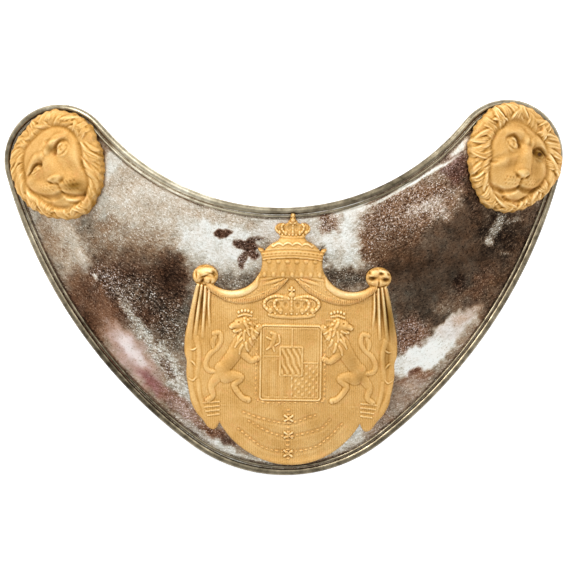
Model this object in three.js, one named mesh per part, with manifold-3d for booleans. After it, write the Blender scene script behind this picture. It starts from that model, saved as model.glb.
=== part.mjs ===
// Officer's gorget, lying on its edges with the convex face up.
// Millimetres, +X to the right, +Y to the horns, +Z up.
import * as THREE from 'three';
import { mergeVertices } from 'three/addons/utils/BufferGeometryUtils.js';
import Module from 'manifold-3d';

const wasm = await Module();
wasm.setup();

// Outline of the plate seen from above, with y = 0 at its lowest point
const neckRadius = 63.2;
const neckSweep = 48.5;
const neckFloor = 71.9;
const hornFlat = 2.7;
const hornRadius = 14.9;
const flankRadius = 134.4;
const footRadius = 42.7;

// Form of the sheet
const bowRadius = 130;
const dishRadius = 260;
const dishCentre = 45;
const wall = 1.2;

// Rolled rim: a thin bead, a groove and the outer roll
const rimBand = 2.8;
const beadWidth = 0.8;
const beadHeight = 0.35;
const rollRadius = 0.95;
const beadTurns = [0, 60, 120, 180];
const rollTurns = [15, 52, 90, 135, 180, 225, 270];

// Gaps between pieces
const seatGap = 0.3;

// Coat of arms: a stamped shell standing in its own frame, foot at armsFoot and turned a little
const armsHalf = 28.4;
const armsHeight = 67.0;
const armsFootX = 0.6;
const armsFootY = 3.4;
const armsTurn = -1.5;
const armsWall = 0.6;
const armsDepth = 1.7;
const lobeRadius = 21.5;
const armsRows = 20;

// Lion masks
const maskHalfWidth = 14.0;
const maskHalfHeight = 14.9;
const maskWall = 0.9;
const maskDepth = 5.4;
const maneWidth = 4.0;
const maneRise = 2.1;
const maneLocks = 18;
const leftMaskOut = 0;
const leftMaskUp = -1.2;
const rightMaskOut = 0.9;
const rightMaskUp = 0;

// Posts, hooks and pins behind
const postRadius = 1.25;
const pinRadius = 1.0;
const headRadius = 2.6;
const headThick = 0.8;
const hookWidth = 5.0;
const hookReach = 13.0;
const hookThick = 0.8;
const hookGap = 1.3;
const postSides = 20;
const pinSides = 16;

const radians = THREE.MathUtils.degToRad;

// One stretch of outline as samples with the direction that points into the metal
function arcSamples(centre, radius, from, to, steps, side) {
  const samples = [];
  for (let i = 0; i <= steps; i += 1) {
    const angle = from + ((to - from) * i) / steps;
    const ray = new THREE.Vector2(Math.cos(angle), Math.sin(angle));
    samples.push({ at: ray.clone().multiplyScalar(radius).add(centre), inward: ray.multiplyScalar(side) });
  }
  return samples;
}

// Centre of a circle of the flank's radius that touches the horn's and the foot's circles from outside
function flankCentre(horn, foot) {
  const toHorn = flankRadius - hornRadius;
  const toFoot = flankRadius - footRadius;
  const across = horn.clone().sub(foot);
  const span = across.length();
  const along = (toFoot ** 2 - toHorn ** 2 + span ** 2) / (2 * span);
  const aside = Math.sqrt(toFoot ** 2 - along ** 2);
  across.divideScalar(span);
  const square = new THREE.Vector2(-across.y, across.x);
  return foot.clone().addScaledVector(across, along).add(square.multiplyScalar(aside));
}

// Right half of the outline: the upper path along the neck and the lower path along the foot.
// Both end at the tip of the horn.
function halfOutline(neckSteps, flatSteps, tipSteps, flankSteps, footSteps) {
  const neck = new THREE.Vector2(0, neckFloor + neckRadius);
  const neckEnd = -Math.PI / 2 + radians(neckSweep);
  const upper = arcSamples(neck, neckRadius, -Math.PI / 2, neckEnd, neckSteps, 1);
  const last = upper[upper.length - 1];
  const heading = new THREE.Vector2(-last.inward.y, last.inward.x);
  for (let i = 1; i <= flatSteps; i += 1) {
    const at = last.at.clone().addScaledVector(heading, (hornFlat * i) / flatSteps);
    upper.push({ at, inward: last.inward });
  }
  const flatEnd = upper[upper.length - 1];
  const horn = flatEnd.at.clone().addScaledVector(flatEnd.inward, hornRadius);
  const foot = new THREE.Vector2(0, footRadius);
  const flank = flankCentre(horn, foot);
  const hornStart = flatEnd.inward.clone().negate().angle();
  const hornEnd = horn.clone().sub(flank).angle() - 2 * Math.PI;
  const footStart = foot.clone().sub(flank).angle() - 2 * Math.PI;
  const tip = (hornStart + hornEnd) / 2;
  upper.push(...arcSamples(horn, hornRadius, hornStart, tip, tipSteps, -1).slice(1));
  const lower = arcSamples(horn, hornRadius, tip, hornEnd, tipSteps, -1);
  lower.push(...arcSamples(flank, flankRadius, hornEnd, footStart, flankSteps, -1).slice(1));
  lower.push(...arcSamples(foot, footRadius, footStart, -Math.PI / 2, footSteps, -1).slice(1));
  return { upper, lower: lower.reverse(), horn };
}

// Ribs join the two paths of the plate's outline, so both have as many samples
const outline = halfOutline(13, 1, 7, 8, 6);
const fineOutline = halfOutline(60, 4, 40, 60, 40);
const finePath = [...fineOutline.upper, ...fineOutline.lower];

function mirrored(sample) {
  return {
    at: new THREE.Vector2(-sample.at.x, sample.at.y),
    inward: new THREE.Vector2(-sample.inward.x, sample.inward.y),
  };
}

// The sheet as a height above the plan: bowed round the neck, dished from top to foot, leaning on its edges
function sheetHeight(x, y, lean) {
  const bow = Math.sqrt(bowRadius ** 2 - x ** 2) - bowRadius;
  const dish = -((y - dishCentre) ** 2) / (2 * dishRadius);
  return bow + dish + lean * y;
}

function sheetNormal(x, y, lean) {
  const slopeX = -x / Math.sqrt(bowRadius ** 2 - x ** 2);
  const slopeY = lean - (y - dishCentre) / dishRadius;
  return new THREE.Vector3(-slopeX, -slopeY, 1).normalize();
}

// A point at a height over the front of the sheet, measured square to it
function onSheet(x, y, height, lean = restLean) {
  return new THREE.Vector3(x, y, sheetHeight(x, y, lean)).addScaledVector(sheetNormal(x, y, lean), height);
}

// Lowest level that a stretch of the roll reaches
function lowestRoll(path, lean) {
  const levels = path.map(({ at, inward }) => {
    const core = at.clone().addScaledVector(inward, rollRadius);
    return onSheet(core.x, core.y, rollRadius - wall, lean).z - rollRadius;
  });
  return Math.min(...levels);
}

const leanHalvings = 40;

// The lean that lets both horns and the foot touch the surface it lies on
function settledLean() {
  const horns = finePath.filter(({ at }) => at.y > neckFloor / 2);
  const feet = finePath.filter(({ at }) => at.y <= neckFloor / 2);
  let low = 0;
  let high = 1;
  for (let i = 0; i < leanHalvings; i += 1) {
    const lean = (low + high) / 2;
    if (lowestRoll(horns, lean) < lowestRoll(feet, lean)) {
      low = lean;
    } else {
      high = lean;
    }
  }
  return (low + high) / 2;
}

const restLean = settledLean();

// Tangent frame on the sheet: x across, y to the horns, z square to the sheet
function seatFrame(x, y) {
  const up = sheetNormal(x, y, restLean);
  const across = new THREE.Vector3(0, 1, 0).cross(up).normalize();
  const along = up.clone().cross(across);
  return new THREE.Matrix4().makeBasis(across, along, up).setPosition(onSheet(x, y, 0));
}

// A closed skin of triangles that becomes a solid
class Skin {
  corners = [];

  quad(a, b, c, d) {
    this.corners.push(a, b, c, a, c, d);
  }

  grid(rows, flipped = false) {
    for (let i = 0; i + 1 < rows.length; i += 1) {
      for (let j = 0; j + 1 < rows[i].length; j += 1) {
        const ring = [rows[i][j], rows[i + 1][j], rows[i + 1][j + 1], rows[i][j + 1]];
        this.quad(...(flipped ? ring.reverse() : ring));
      }
    }
  }

  solid() {
    return geometrySolid(new THREE.BufferGeometry().setFromPoints(this.corners));
  }
}

const weldGap = 1e-3;

// Merged vertices, without the triangles that shrink to a line at a tip or a centre
function geometrySolid(geometry) {
  geometry.deleteAttribute('normal');
  geometry.deleteAttribute('uv');
  const merged = mergeVertices(geometry, weldGap);
  const index = [];
  for (let i = 0; i < merged.index.count; i += 3) {
    const face = [0, 1, 2].map((k) => merged.index.getX(i + k));
    if (new Set(face).size === 3) {
      index.push(...face);
    }
  }
  const vertProperties = new Float32Array(merged.attributes.position.array);
  return new wasm.Manifold(new wasm.Mesh({ numProp: 3, vertProperties, triVerts: new Uint32Array(index) }));
}

function solidMesh(name, solid, material) {
  const mesh = solid.getMesh();
  const geometry = new THREE.BufferGeometry();
  geometry.setAttribute('position', new THREE.BufferAttribute(mesh.vertProperties, 3));
  geometry.setIndex(new THREE.BufferAttribute(mesh.triVerts, 1));
  const made = new THREE.Mesh(geometry, material.clone());
  made.name = name;
  return made;
}

// Rim section from the field over bead, groove and roll to the back, as depth from the outline and height
function rimSection() {
  const section = [];
  const beadCentre = rimBand - beadWidth / 2;
  for (const turn of beadTurns) {
    const angle = radians(turn);
    section.push([beadCentre + (beadWidth / 2) * Math.cos(angle), beadHeight * Math.sin(angle)]);
  }
  for (const turn of rollTurns) {
    const angle = radians(turn);
    section.push([rollRadius * (1 + Math.cos(angle)), rollRadius * (1 + Math.sin(angle)) - wall]);
  }
  section.push([rimBand, -wall]);
  return section;
}

const fieldSteps = 7;

function plateSolid(cutters) {
  const skin = new Skin();
  const { upper, lower } = outline;
  const right = [...upper, ...lower.slice(0, -1).reverse()];
  const left = right.slice(1, -1).map(mirrored).reverse();
  const loop = [...right, ...left, right[0]];
  const section = rimSection();
  skin.grid(loop.map(({ at, inward }) => section.map(([depth, height]) => {
    const place = at.clone().addScaledVector(inward, depth);
    return onSheet(place.x, place.y, height);
  })));
  const ribs = upper.map((sample, i) => [sample, lower[i]]);
  const allRibs = [...ribs.slice(1).map((rib) => rib.map(mirrored)).reverse(), ...ribs];
  const field = (height) => allRibs.map(([top, foot]) => {
    const start = top.at.clone().addScaledVector(top.inward, rimBand);
    const end = foot.at.clone().addScaledVector(foot.inward, rimBand);
    return Array.from({ length: fieldSteps + 1 }, (_, k) => {
      const place = start.clone().lerp(end, k / fieldSteps);
      return onSheet(place.x, place.y, height);
    });
  });
  skin.grid(field(0), true);
  skin.grid(field(-wall));
  return cutters.reduce((solid, cutter) => solid.subtract(cutter), skin.solid());
}

// Clearance that an ornament keeps over the sheet, lifted where it lies over the rim
function ornamentLift(x, y) {
  const here = new THREE.Vector2(Math.abs(x), y);
  const depth = Math.min(...finePath.map(({ at }) => at.distanceTo(here)));
  const ease = THREE.MathUtils.smoothstep(depth, rimBand, 2 * rimBand);
  return seatGap + (2 * rollRadius - wall) * (1 - ease);
}

// Coat of arms: its edge for half the width.
// across is a share of armsHalf, top and foot are shares of armsHeight.
const armsEdge = [
  { across: 0.00, top: 1.000 },
  { across: 0.047, top: 0.980 },
  { across: 0.065, top: 0.952 },
  { across: 0.137, top: 0.950 },
  { across: 0.161, top: 0.932 },
  { across: 0.175, top: 0.892 },
  { across: 0.256, top: 0.876 },
  { across: 0.313, top: 0.850 },
  { across: 0.330, top: 0.748 },
  { across: 0.398, top: 0.712 },
  { across: 0.455, top: 0.696 },
  { across: 0.520, top: 0.686 },
  { across: 0.600, top: 0.684 },
  { across: 0.660, top: 0.690, foot: 0.162 },
  { across: 0.704, top: 0.704, foot: 0.140 },
  { across: 0.722, top: 0.750, foot: 0.137 },
  { across: 0.777, top: 0.782, foot: 0.150 },
  { across: 0.853, top: 0.784, foot: 0.185 },
  { across: 0.910, top: 0.768, foot: 0.245 },
  { across: 0.930, top: 0.740, foot: 0.262 },
  { across: 0.945, top: 0.630, foot: 0.290 },
  { across: 0.972, top: 0.570, foot: 0.340 },
  { across: 1.000, top: 0.500, foot: 0.410 },
];

// Raised work of one half, mirrored for the other. Places and radii are shares of armsHalf across and of
// armsHeight up (radii of armsHalf), rise is a share of armsDepth.
const armsStrokes = [
  { form: 'top crown', x1: 0.00, y1: 0.925, x2: 0.12, y2: 0.925, r1: 0.13, r2: 0.10, rise: 0.65 },
  { form: 'finial', x1: 0.00, y1: 0.955, x2: 0.00, y2: 0.985, r1: 0.07, r2: 0.05, rise: 0.60 },
  { form: 'canopy', x1: 0.00, y1: 0.835, x2: 0.12, y2: 0.835, r1: 0.26, r2: 0.20, rise: 1.00 },
  { form: 'valance', x1: 0.00, y1: 0.765, x2: 0.22, y2: 0.765, r1: 0.14, r2: 0.13, rise: 0.85 },
  { form: 'shoulder', x1: 0.30, y1: 0.730, x2: 0.48, y2: 0.665, r1: 0.10, r2: 0.10, rise: 0.75 },
  { form: 'shoulder end', x1: 0.48, y1: 0.665, x2: 0.72, y2: 0.675, r1: 0.10, r2: 0.09, rise: 0.75 },
  { form: 'knot', x1: 0.80, y1: 0.748, x2: 0.86, y2: 0.748, r1: 0.12, r2: 0.12, rise: 1.00 },
  { form: 'outer fold', x1: 0.86, y1: 0.70, x2: 0.94, y2: 0.46, r1: 0.06, r2: 0.09, rise: 0.95 },
  { form: 'inner fold', x1: 0.80, y1: 0.70, x2: 0.78, y2: 0.50, r1: 0.05, r2: 0.07, rise: 0.75 },
  { form: 'lower fold', x1: 0.93, y1: 0.46, x2: 0.86, y2: 0.24, r1: 0.08, r2: 0.09, rise: 0.60 },
  { form: 'shield crown', x1: 0.00, y1: 0.650, x2: 0.17, y2: 0.650, r1: 0.15, r2: 0.11, rise: 0.80 },
  { form: 'crown band', x1: 0.00, y1: 0.590, x2: 0.17, y2: 0.590, r1: 0.08, r2: 0.08, rise: 0.60 },
  { form: 'head', x1: 0.48, y1: 0.554, x2: 0.54, y2: 0.538, r1: 0.070, r2: 0.045, rise: 0.80 },
  { form: 'mane', x1: 0.44, y1: 0.518, x2: 0.45, y2: 0.458, r1: 0.090, r2: 0.080, rise: 0.80 },
  { form: 'body', x1: 0.44, y1: 0.458, x2: 0.61, y2: 0.370, r1: 0.080, r2: 0.072, rise: 0.70 },
  { form: 'haunch', x1: 0.63, y1: 0.362, x2: 0.66, y2: 0.346, r1: 0.085, r2: 0.060, rise: 0.75 },
  { form: 'hind thigh', x1: 0.66, y1: 0.346, x2: 0.74, y2: 0.302, r1: 0.050, r2: 0.036, rise: 0.60 },
  { form: 'hind shank', x1: 0.74, y1: 0.302, x2: 0.74, y2: 0.246, r1: 0.036, r2: 0.032, rise: 0.55 },
  { form: 'near thigh', x1: 0.59, y1: 0.346, x2: 0.47, y2: 0.334, r1: 0.050, r2: 0.036, rise: 0.60 },
  { form: 'near shank', x1: 0.50, y1: 0.320, x2: 0.43, y2: 0.254, r1: 0.036, r2: 0.032, rise: 0.55 },
  { form: 'raised paw', x1: 0.39, y1: 0.486, x2: 0.30, y2: 0.542, r1: 0.042, r2: 0.034, rise: 0.70 },
  { form: 'lower paw', x1: 0.40, y1: 0.450, x2: 0.31, y2: 0.406, r1: 0.042, r2: 0.034, rise: 0.70 },
  { form: 'tail root', x1: 0.68, y1: 0.370, x2: 0.82, y2: 0.400, r1: 0.026, r2: 0.026, rise: 0.45 },
  { form: 'tail sweep', x1: 0.82, y1: 0.400, x2: 0.68, y2: 0.446, r1: 0.026, r2: 0.026, rise: 0.45 },
  { form: 'tail end', x1: 0.68, y1: 0.446, x2: 0.68, y2: 0.520, r1: 0.026, r2: 0.030, rise: 0.45 },
];

const shieldHalf = 8.1;
const shieldFoot = 17.2;
const shieldTop = 37.1;
const shieldRise = 0.55;
const lobeRise = 0.25;

function strokeRise(stroke, x, y) {
  const from = new THREE.Vector2(stroke.x1 * armsHalf, stroke.y1 * armsHeight);
  const way = new THREE.Vector2(stroke.x2 * armsHalf, stroke.y2 * armsHeight).sub(from);
  const point = new THREE.Vector2(x, y).sub(from);
  const share = THREE.MathUtils.clamp(point.dot(way) / Math.max(way.lengthSq(), 1e-9), 0, 1);
  const radius = THREE.MathUtils.lerp(stroke.r1, stroke.r2, share) * armsHalf;
  const off = point.distanceTo(way.multiplyScalar(share)) / radius;
  return off < 1 ? stroke.rise * armsDepth * (1 - off ** 2) : 0;
}

function armsRelief(x, y) {
  const side = Math.abs(x);
  let rise = Math.max(...armsStrokes.map((stroke) => strokeRise(stroke, side, y)));
  if (side < shieldHalf && y > shieldFoot && y < shieldTop) {
    rise = Math.max(rise, shieldRise);
  }
  if (Math.hypot(x, y - lobeRadius) < lobeRadius) {
    rise = Math.max(rise, lobeRise);
  }
  return rise;
}

// From the frame of the coat of arms to the plan of the plate
function armsPlan(x, y) {
  return new THREE.Vector2(x, y).rotateAround(new THREE.Vector2(), radians(armsTurn))
    .add(new THREE.Vector2(armsFootX, armsFootY));
}

function armsPoint(x, y, height) {
  const plan = armsPlan(x, y);
  return onSheet(plan.x, plan.y, ornamentLift(plan.x, plan.y) + height);
}

// The lobe at the foot is round, and the tails beside it follow the table
function armsFootEdge({ across, foot }) {
  const x = across * armsHalf;
  return foot === undefined ? lobeRadius - Math.sqrt(lobeRadius ** 2 - x ** 2) : foot * armsHeight;
}

function armsSolid() {
  const right = armsEdge.map((row) => ({
    x: row.across * armsHalf,
    top: row.top * armsHeight,
    foot: armsFootEdge(row),
  }));
  const left = right.slice(1).map((row) => ({ ...row, x: -row.x })).reverse();
  const places = [...left, ...right].map(({ x, top, foot }) => (
    Array.from({ length: armsRows + 1 }, (_, k) => [x, THREE.MathUtils.lerp(foot, top, k / armsRows)])
  ));
  const front = places.map((column) => column.map(([x, y]) => armsPoint(x, y, armsRelief(x, y) + armsWall)));
  const back = places.map((column) => column.map(([x, y]) => armsPoint(x, y, armsRelief(x, y))));
  const edge = (sheet) => [
    ...sheet.map((column) => column[0]),
    ...sheet[sheet.length - 1].slice(1),
    ...sheet.slice(0, -1).map((column) => column[armsRows]).reverse(),
    ...sheet[0].slice(0, -1).reverse(),
  ];
  const skin = new Skin();
  skin.grid(front);
  skin.grid(back, true);
  skin.grid([edge(front), edge(back)]);
  return skin.solid();
}

// Bumps and hollows of the lion's face. Places and sizes are shares of the mask's half width and half height,
// rise is a share of maskDepth.
const faceForms = [
  { form: 'forehead', u: 0.00, v: 0.40, wide: 0.42, tall: 0.26, rise: 0.16 },
  { form: 'brow left', u: -0.32, v: 0.30, wide: 0.20, tall: 0.12, rise: 0.14 },
  { form: 'brow right', u: 0.32, v: 0.30, wide: 0.20, tall: 0.12, rise: 0.14 },
  { form: 'eye left', u: -0.30, v: 0.13, wide: 0.15, tall: 0.10, rise: -0.18 },
  { form: 'eye right', u: 0.30, v: 0.13, wide: 0.15, tall: 0.10, rise: -0.18 },
  { form: 'nose bridge', u: 0.00, v: 0.02, wide: 0.12, tall: 0.28, rise: 0.22 },
  { form: 'nose', u: 0.00, v: -0.22, wide: 0.16, tall: 0.11, rise: 0.24 },
  { form: 'muzzle left', u: -0.20, v: -0.34, wide: 0.20, tall: 0.16, rise: 0.22 },
  { form: 'muzzle right', u: 0.20, v: -0.34, wide: 0.20, tall: 0.16, rise: 0.22 },
  { form: 'mouth', u: 0.00, v: -0.52, wide: 0.26, tall: 0.05, rise: -0.20 },
  { form: 'chin', u: 0.00, v: -0.64, wide: 0.17, tall: 0.10, rise: 0.14 },
];
const maskRings = [0, 0.14, 0.27, 0.39, 0.5, 0.6, 0.7, 0.79, 0.87, 0.94, 1];
const hollowShare = 0.62;
const hollowEdge = 0.95;
const lockDepth = 0.02;
const lockRelief = 0.15;
const maneFullness = 0.7;
const faceFadeStart = 0.15;
const faceFadeEnd = 0.4;

// Inner dome of the stamping, hollow behind the face
function maskHollow(share) {
  return hollowShare * maskDepth * Math.max(0, 1 - (share / hollowEdge) ** 2);
}

function maskRelief(angle, share) {
  const u = share * Math.cos(angle);
  const v = share * Math.sin(angle);
  const face = faceForms.reduce((sum, { u: cu, v: cv, wide, tall, rise }) => (
    sum + rise * maskDepth * Math.exp(-(((u - cu) / wide) ** 2) - ((v - cv) / tall) ** 2)
  ), 0);
  const inMane = (1 - share) * (maskHalfWidth / maneWidth);
  const mane = maneRise * Math.sin(Math.PI * THREE.MathUtils.clamp(inMane, 0, 1)) ** maneFullness;
  const locks = 1 + lockRelief * Math.cos(maneLocks * angle);
  const fade = THREE.MathUtils.smoothstep(1 - share, faceFadeStart, faceFadeEnd);
  return Math.max(mane * locks, 0) + face * fade + maskHollow(share);
}

// turn is how far the head leans
function maskSolid(frame, turn) {
  const sectors = 2 * maneLocks;
  const sheet = (height) => Array.from({ length: sectors + 1 }, (_, i) => maskRings.map((share) => {
    const angle = ((i % sectors) / sectors) * 2 * Math.PI;
    const ripple = 1 + lockDepth * Math.cos(maneLocks * angle) * share;
    const face = new THREE.Vector2(Math.cos(angle) * maskHalfWidth, Math.sin(angle) * maskHalfHeight)
      .multiplyScalar(share * ripple).rotateAround(new THREE.Vector2(), radians(turn));
    const plan = new THREE.Vector3(face.x, face.y, 0).applyMatrix4(frame);
    return onSheet(plan.x, plan.y, ornamentLift(plan.x, plan.y) + height(angle, share));
  }));
  const front = sheet((angle, share) => maskRelief(angle, share) + maskWall);
  const back = sheet((angle, share) => maskHollow(share));
  const skin = new Skin();
  skin.grid(front, true);
  skin.grid(back);
  skin.grid([front, back].map((rows) => rows.map((row) => row[row.length - 1])));
  return skin.solid();
}

// A cylinder standing on its frame's z axis between two heights
function postSolid(radius, from, to, sides) {
  const post = new THREE.CylinderGeometry(radius, radius, to - from, sides).rotateX(Math.PI / 2);
  return geometrySolid(post.translate(0, 0, (from + to) / 2));
}

function slabSolid(width, length, thick, centreY, centreZ) {
  return geometrySolid(new THREE.BoxGeometry(width, length, thick).translate(0, centreY, centreZ));
}

// Post with a head behind the plate, joined to a flat hook that stands off for the collar's button loop
function hookSolid() {
  const headTop = -wall - seatGap;
  const hookTop = headTop - headThick - hookGap;
  const hookCore = hookTop - hookThick / 2;
  const post = postSolid(postRadius, hookCore, seatGap + maskHollow(0) - 2 * seatGap, postSides);
  const head = postSolid(headRadius, headTop - headThick, headTop, postSides);
  const tongue = slabSolid(hookWidth, hookReach, hookThick, hookReach / 2 - headRadius, hookCore);
  return post.add(head).add(tongue);
}

// Pin of the coat of arms, ending just under the stamped shell
function pinSolid() {
  const headTop = -wall - seatGap;
  const pin = postSolid(pinRadius, headTop - headThick / 2, 0, pinSides);
  return pin.add(postSolid(headRadius, headTop - headThick, headTop, postSides));
}

const silver = new THREE.MeshStandardMaterial({ color: '#8d857c', roughness: 0.38, metalness: 1 });
const gilt = new THREE.MeshStandardMaterial({ color: '#dcae62', roughness: 0.42, metalness: 1 });
const brass = new THREE.MeshStandardMaterial({ color: '#a98a4e', roughness: 0.5, metalness: 1 });

const leanLeft = 30;
const leanRight = -20;
const pinUpper = 0.40;
const pinLower = 0.10;

const gorget = new THREE.Group();

function addSeated(name, solid, frame, material) {
  const mesh = solidMesh(name, solid, material);
  frame.decompose(mesh.position, mesh.quaternion, mesh.scale);
  gorget.add(mesh);
}

const leftHorn = seatFrame(-outline.horn.x - leftMaskOut, outline.horn.y + leftMaskUp);
const rightHorn = seatFrame(outline.horn.x + rightMaskOut, outline.horn.y + rightMaskUp);
const hookSeats = { collar_hook_left: leftHorn, collar_hook_right: rightHorn };
const pinSeats = {
  arms_pin_upper: seatFrame(...armsPlan(0, pinUpper * armsHeight)),
  arms_pin_lower: seatFrame(...armsPlan(0, pinLower * armsHeight)),
};

function holeCutters(seats, radius) {
  return Object.values(seats).map((frame) => (
    postSolid(radius + seatGap, -2 * wall, wall, postSides).transform(frame.elements)
  ));
}

const cutters = [...holeCutters(hookSeats, postRadius), ...holeCutters(pinSeats, pinRadius)];
gorget.add(solidMesh('plate', plateSolid(cutters), silver));
gorget.add(solidMesh('coat_of_arms', armsSolid(), gilt));
gorget.add(solidMesh('lion_mask_left', maskSolid(leftHorn, leanLeft), gilt));
gorget.add(solidMesh('lion_mask_right', maskSolid(rightHorn, leanRight), gilt));
Object.entries(hookSeats).forEach(([name, frame]) => addSeated(name, hookSolid(), frame, brass));
Object.entries(pinSeats).forEach(([name, frame]) => addSeated(name, pinSolid(), frame, brass));

// The origin is the middle of the footprint, at the level of the surface it lies on
const box = new THREE.Box3().setFromObject(gorget, true);
const middle = box.getCenter(new THREE.Vector3());
gorget.position.set(-middle.x, -middle.y, -box.min.z);

export default gorget;
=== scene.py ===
import math
import bpy
import numpy as np
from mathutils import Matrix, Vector
from mathutils.geometry import delaunay_2d_cdt


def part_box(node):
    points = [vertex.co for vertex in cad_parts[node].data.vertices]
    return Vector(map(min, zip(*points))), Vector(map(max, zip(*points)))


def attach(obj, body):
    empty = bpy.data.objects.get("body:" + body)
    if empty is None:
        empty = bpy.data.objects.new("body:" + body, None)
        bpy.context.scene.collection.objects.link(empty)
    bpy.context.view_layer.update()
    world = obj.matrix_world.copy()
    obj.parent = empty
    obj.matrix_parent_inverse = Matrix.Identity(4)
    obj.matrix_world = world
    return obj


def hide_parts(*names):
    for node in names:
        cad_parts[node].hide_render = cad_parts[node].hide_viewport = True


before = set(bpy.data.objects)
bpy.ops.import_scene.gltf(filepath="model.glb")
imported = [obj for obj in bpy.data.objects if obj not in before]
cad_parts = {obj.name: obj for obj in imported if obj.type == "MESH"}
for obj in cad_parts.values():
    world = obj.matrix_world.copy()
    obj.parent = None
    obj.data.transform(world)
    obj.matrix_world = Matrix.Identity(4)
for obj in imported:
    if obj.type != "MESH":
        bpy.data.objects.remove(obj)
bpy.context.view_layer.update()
print("frame loaded")

mm = 0.001
body = "root"


# Colours and materials

def hexColour(code):
    srgb = [int(code[i:i + 2], 16) / 255 for i in (1, 3, 5)]
    return [c / 12.92 if c <= 0.04045 else ((c + 0.055) / 1.055) ** 2.4 for c in srgb] + [1.0]


def addNode(tree, kind, settings=None, links=None):
    # settings: own properties, ramp stops, or sockets by name or number; links: socket -> (node, output)
    node = tree.nodes.new(kind)
    for key, value in (settings or {}).items():
        if key == "stops":
            elements = node.color_ramp.elements
            while len(elements) < len(value):
                elements.new(0.5)
            for element, (place, code) in zip(elements, value):
                element.position = place
                element.color = hexColour(code)
        elif isinstance(key, str) and hasattr(node, key):
            setattr(node, key, value)
        else:
            node.inputs[key].default_value = value
    for key, (source, output) in (links or {}).items():
        tree.links.new(source.outputs[output], node.inputs[key])
    return node


def newMaterial(name):
    material = bpy.data.materials.new(name)
    material.use_nodes = True
    tree = material.node_tree
    return material, tree, tree.nodes["Principled BSDF"]


# Meshes

def makeObject(name, verts, faces, material):
    # verts in the row frame in mm, faces as rows of 3 or 4 vertex numbers
    mesh = bpy.data.meshes.new(name)
    verts = np.asarray(verts, dtype=np.float64) * mm
    faces = [np.asarray(block, dtype=np.int64) for block in faces if len(block)]
    loops = np.concatenate([block.ravel() for block in faces])
    sizes = np.concatenate([np.full(len(block), block.shape[1]) for block in faces])
    starts = np.concatenate([[0], np.cumsum(sizes)[:-1]])
    mesh.vertices.add(len(verts))
    mesh.vertices.foreach_set("co", verts.ravel())
    mesh.loops.add(len(loops))
    mesh.loops.foreach_set("vertex_index", loops)
    mesh.polygons.add(len(sizes))
    mesh.polygons.foreach_set("loop_start", starts)
    mesh.update(calc_edges=True)
    mesh.validate()
    mesh.shade_smooth()
    mesh.materials.append(material)
    obj = bpy.data.objects.new(name, mesh)
    bpy.context.scene.collection.objects.link(obj)
    return obj


def addAttribute(obj, name, values):
    values = np.asarray(values, dtype=np.float32)
    vector = values.ndim == 2
    layer = obj.data.attributes.new(name, "FLOAT_VECTOR" if vector else "FLOAT", "POINT")
    layer.data.foreach_set("vector" if vector else "value", values.ravel())


def finishPiece(obj, slot, *nodes):
    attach(obj, body)
    if nodes:
        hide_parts(*nodes)


# The sheet's form: the same sizes as the solid plate

plate = {
    "neckRadius": 63.2,       # mm, the arc of the neck opening
    "neckSweep": 48.5,        # degrees to each side
    "neckFloor": 71.9,        # lowest point of the neck over the foot
    "hornFlat": 2.7,
    "hornRadius": 14.9,
    "flankRadius": 134.4,
    "footRadius": 42.7,
    "bowRadius": 130.0,       # bent round the chest
    "dishRadius": 260.0,
    "dishCentre": 45.0,
    "wall": 1.2,
    "rollRadius": 0.95,       # outer roll of the rim
    "beadRadius": 0.36,       # thin bead inside the groove
    "beadDepth": 2.38,
    "rimBand": 2.8,
    "seatGap": 0.3,
    "ribs": 241,              # mesh lines for half the plate, an odd number
    "rows": 138,              # divides by three
    "rimSteps": 900,          # sections of roll and bead round the plate
    "rollSides": 20,
    "beadSides": 12,
    "strokeLength": 0.45,     # how far the polishing strokes are drawn out along the crescent
    "backStain": (0.34, 0.9, 0.0, 0.35),    # tone, warmth, rose and speckle
}


def halfSide(p):
    # places of both halves brought over to the right one
    return np.stack([np.abs(p[:, 0]), p[:, 1]], 1)


def turnedPlace(dx, dy, turn):
    c, s = math.cos(math.radians(turn)), math.sin(math.radians(turn))
    return dx * c + dy * s, -dx * s + dy * c


def arcPath(centre, radius, start, end, side, steps=120):
    angle = np.linspace(start, end, steps + 1)
    ray = np.stack([np.cos(angle), np.sin(angle)], 1)
    return np.array(centre) + ray * radius, ray * side


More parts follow.
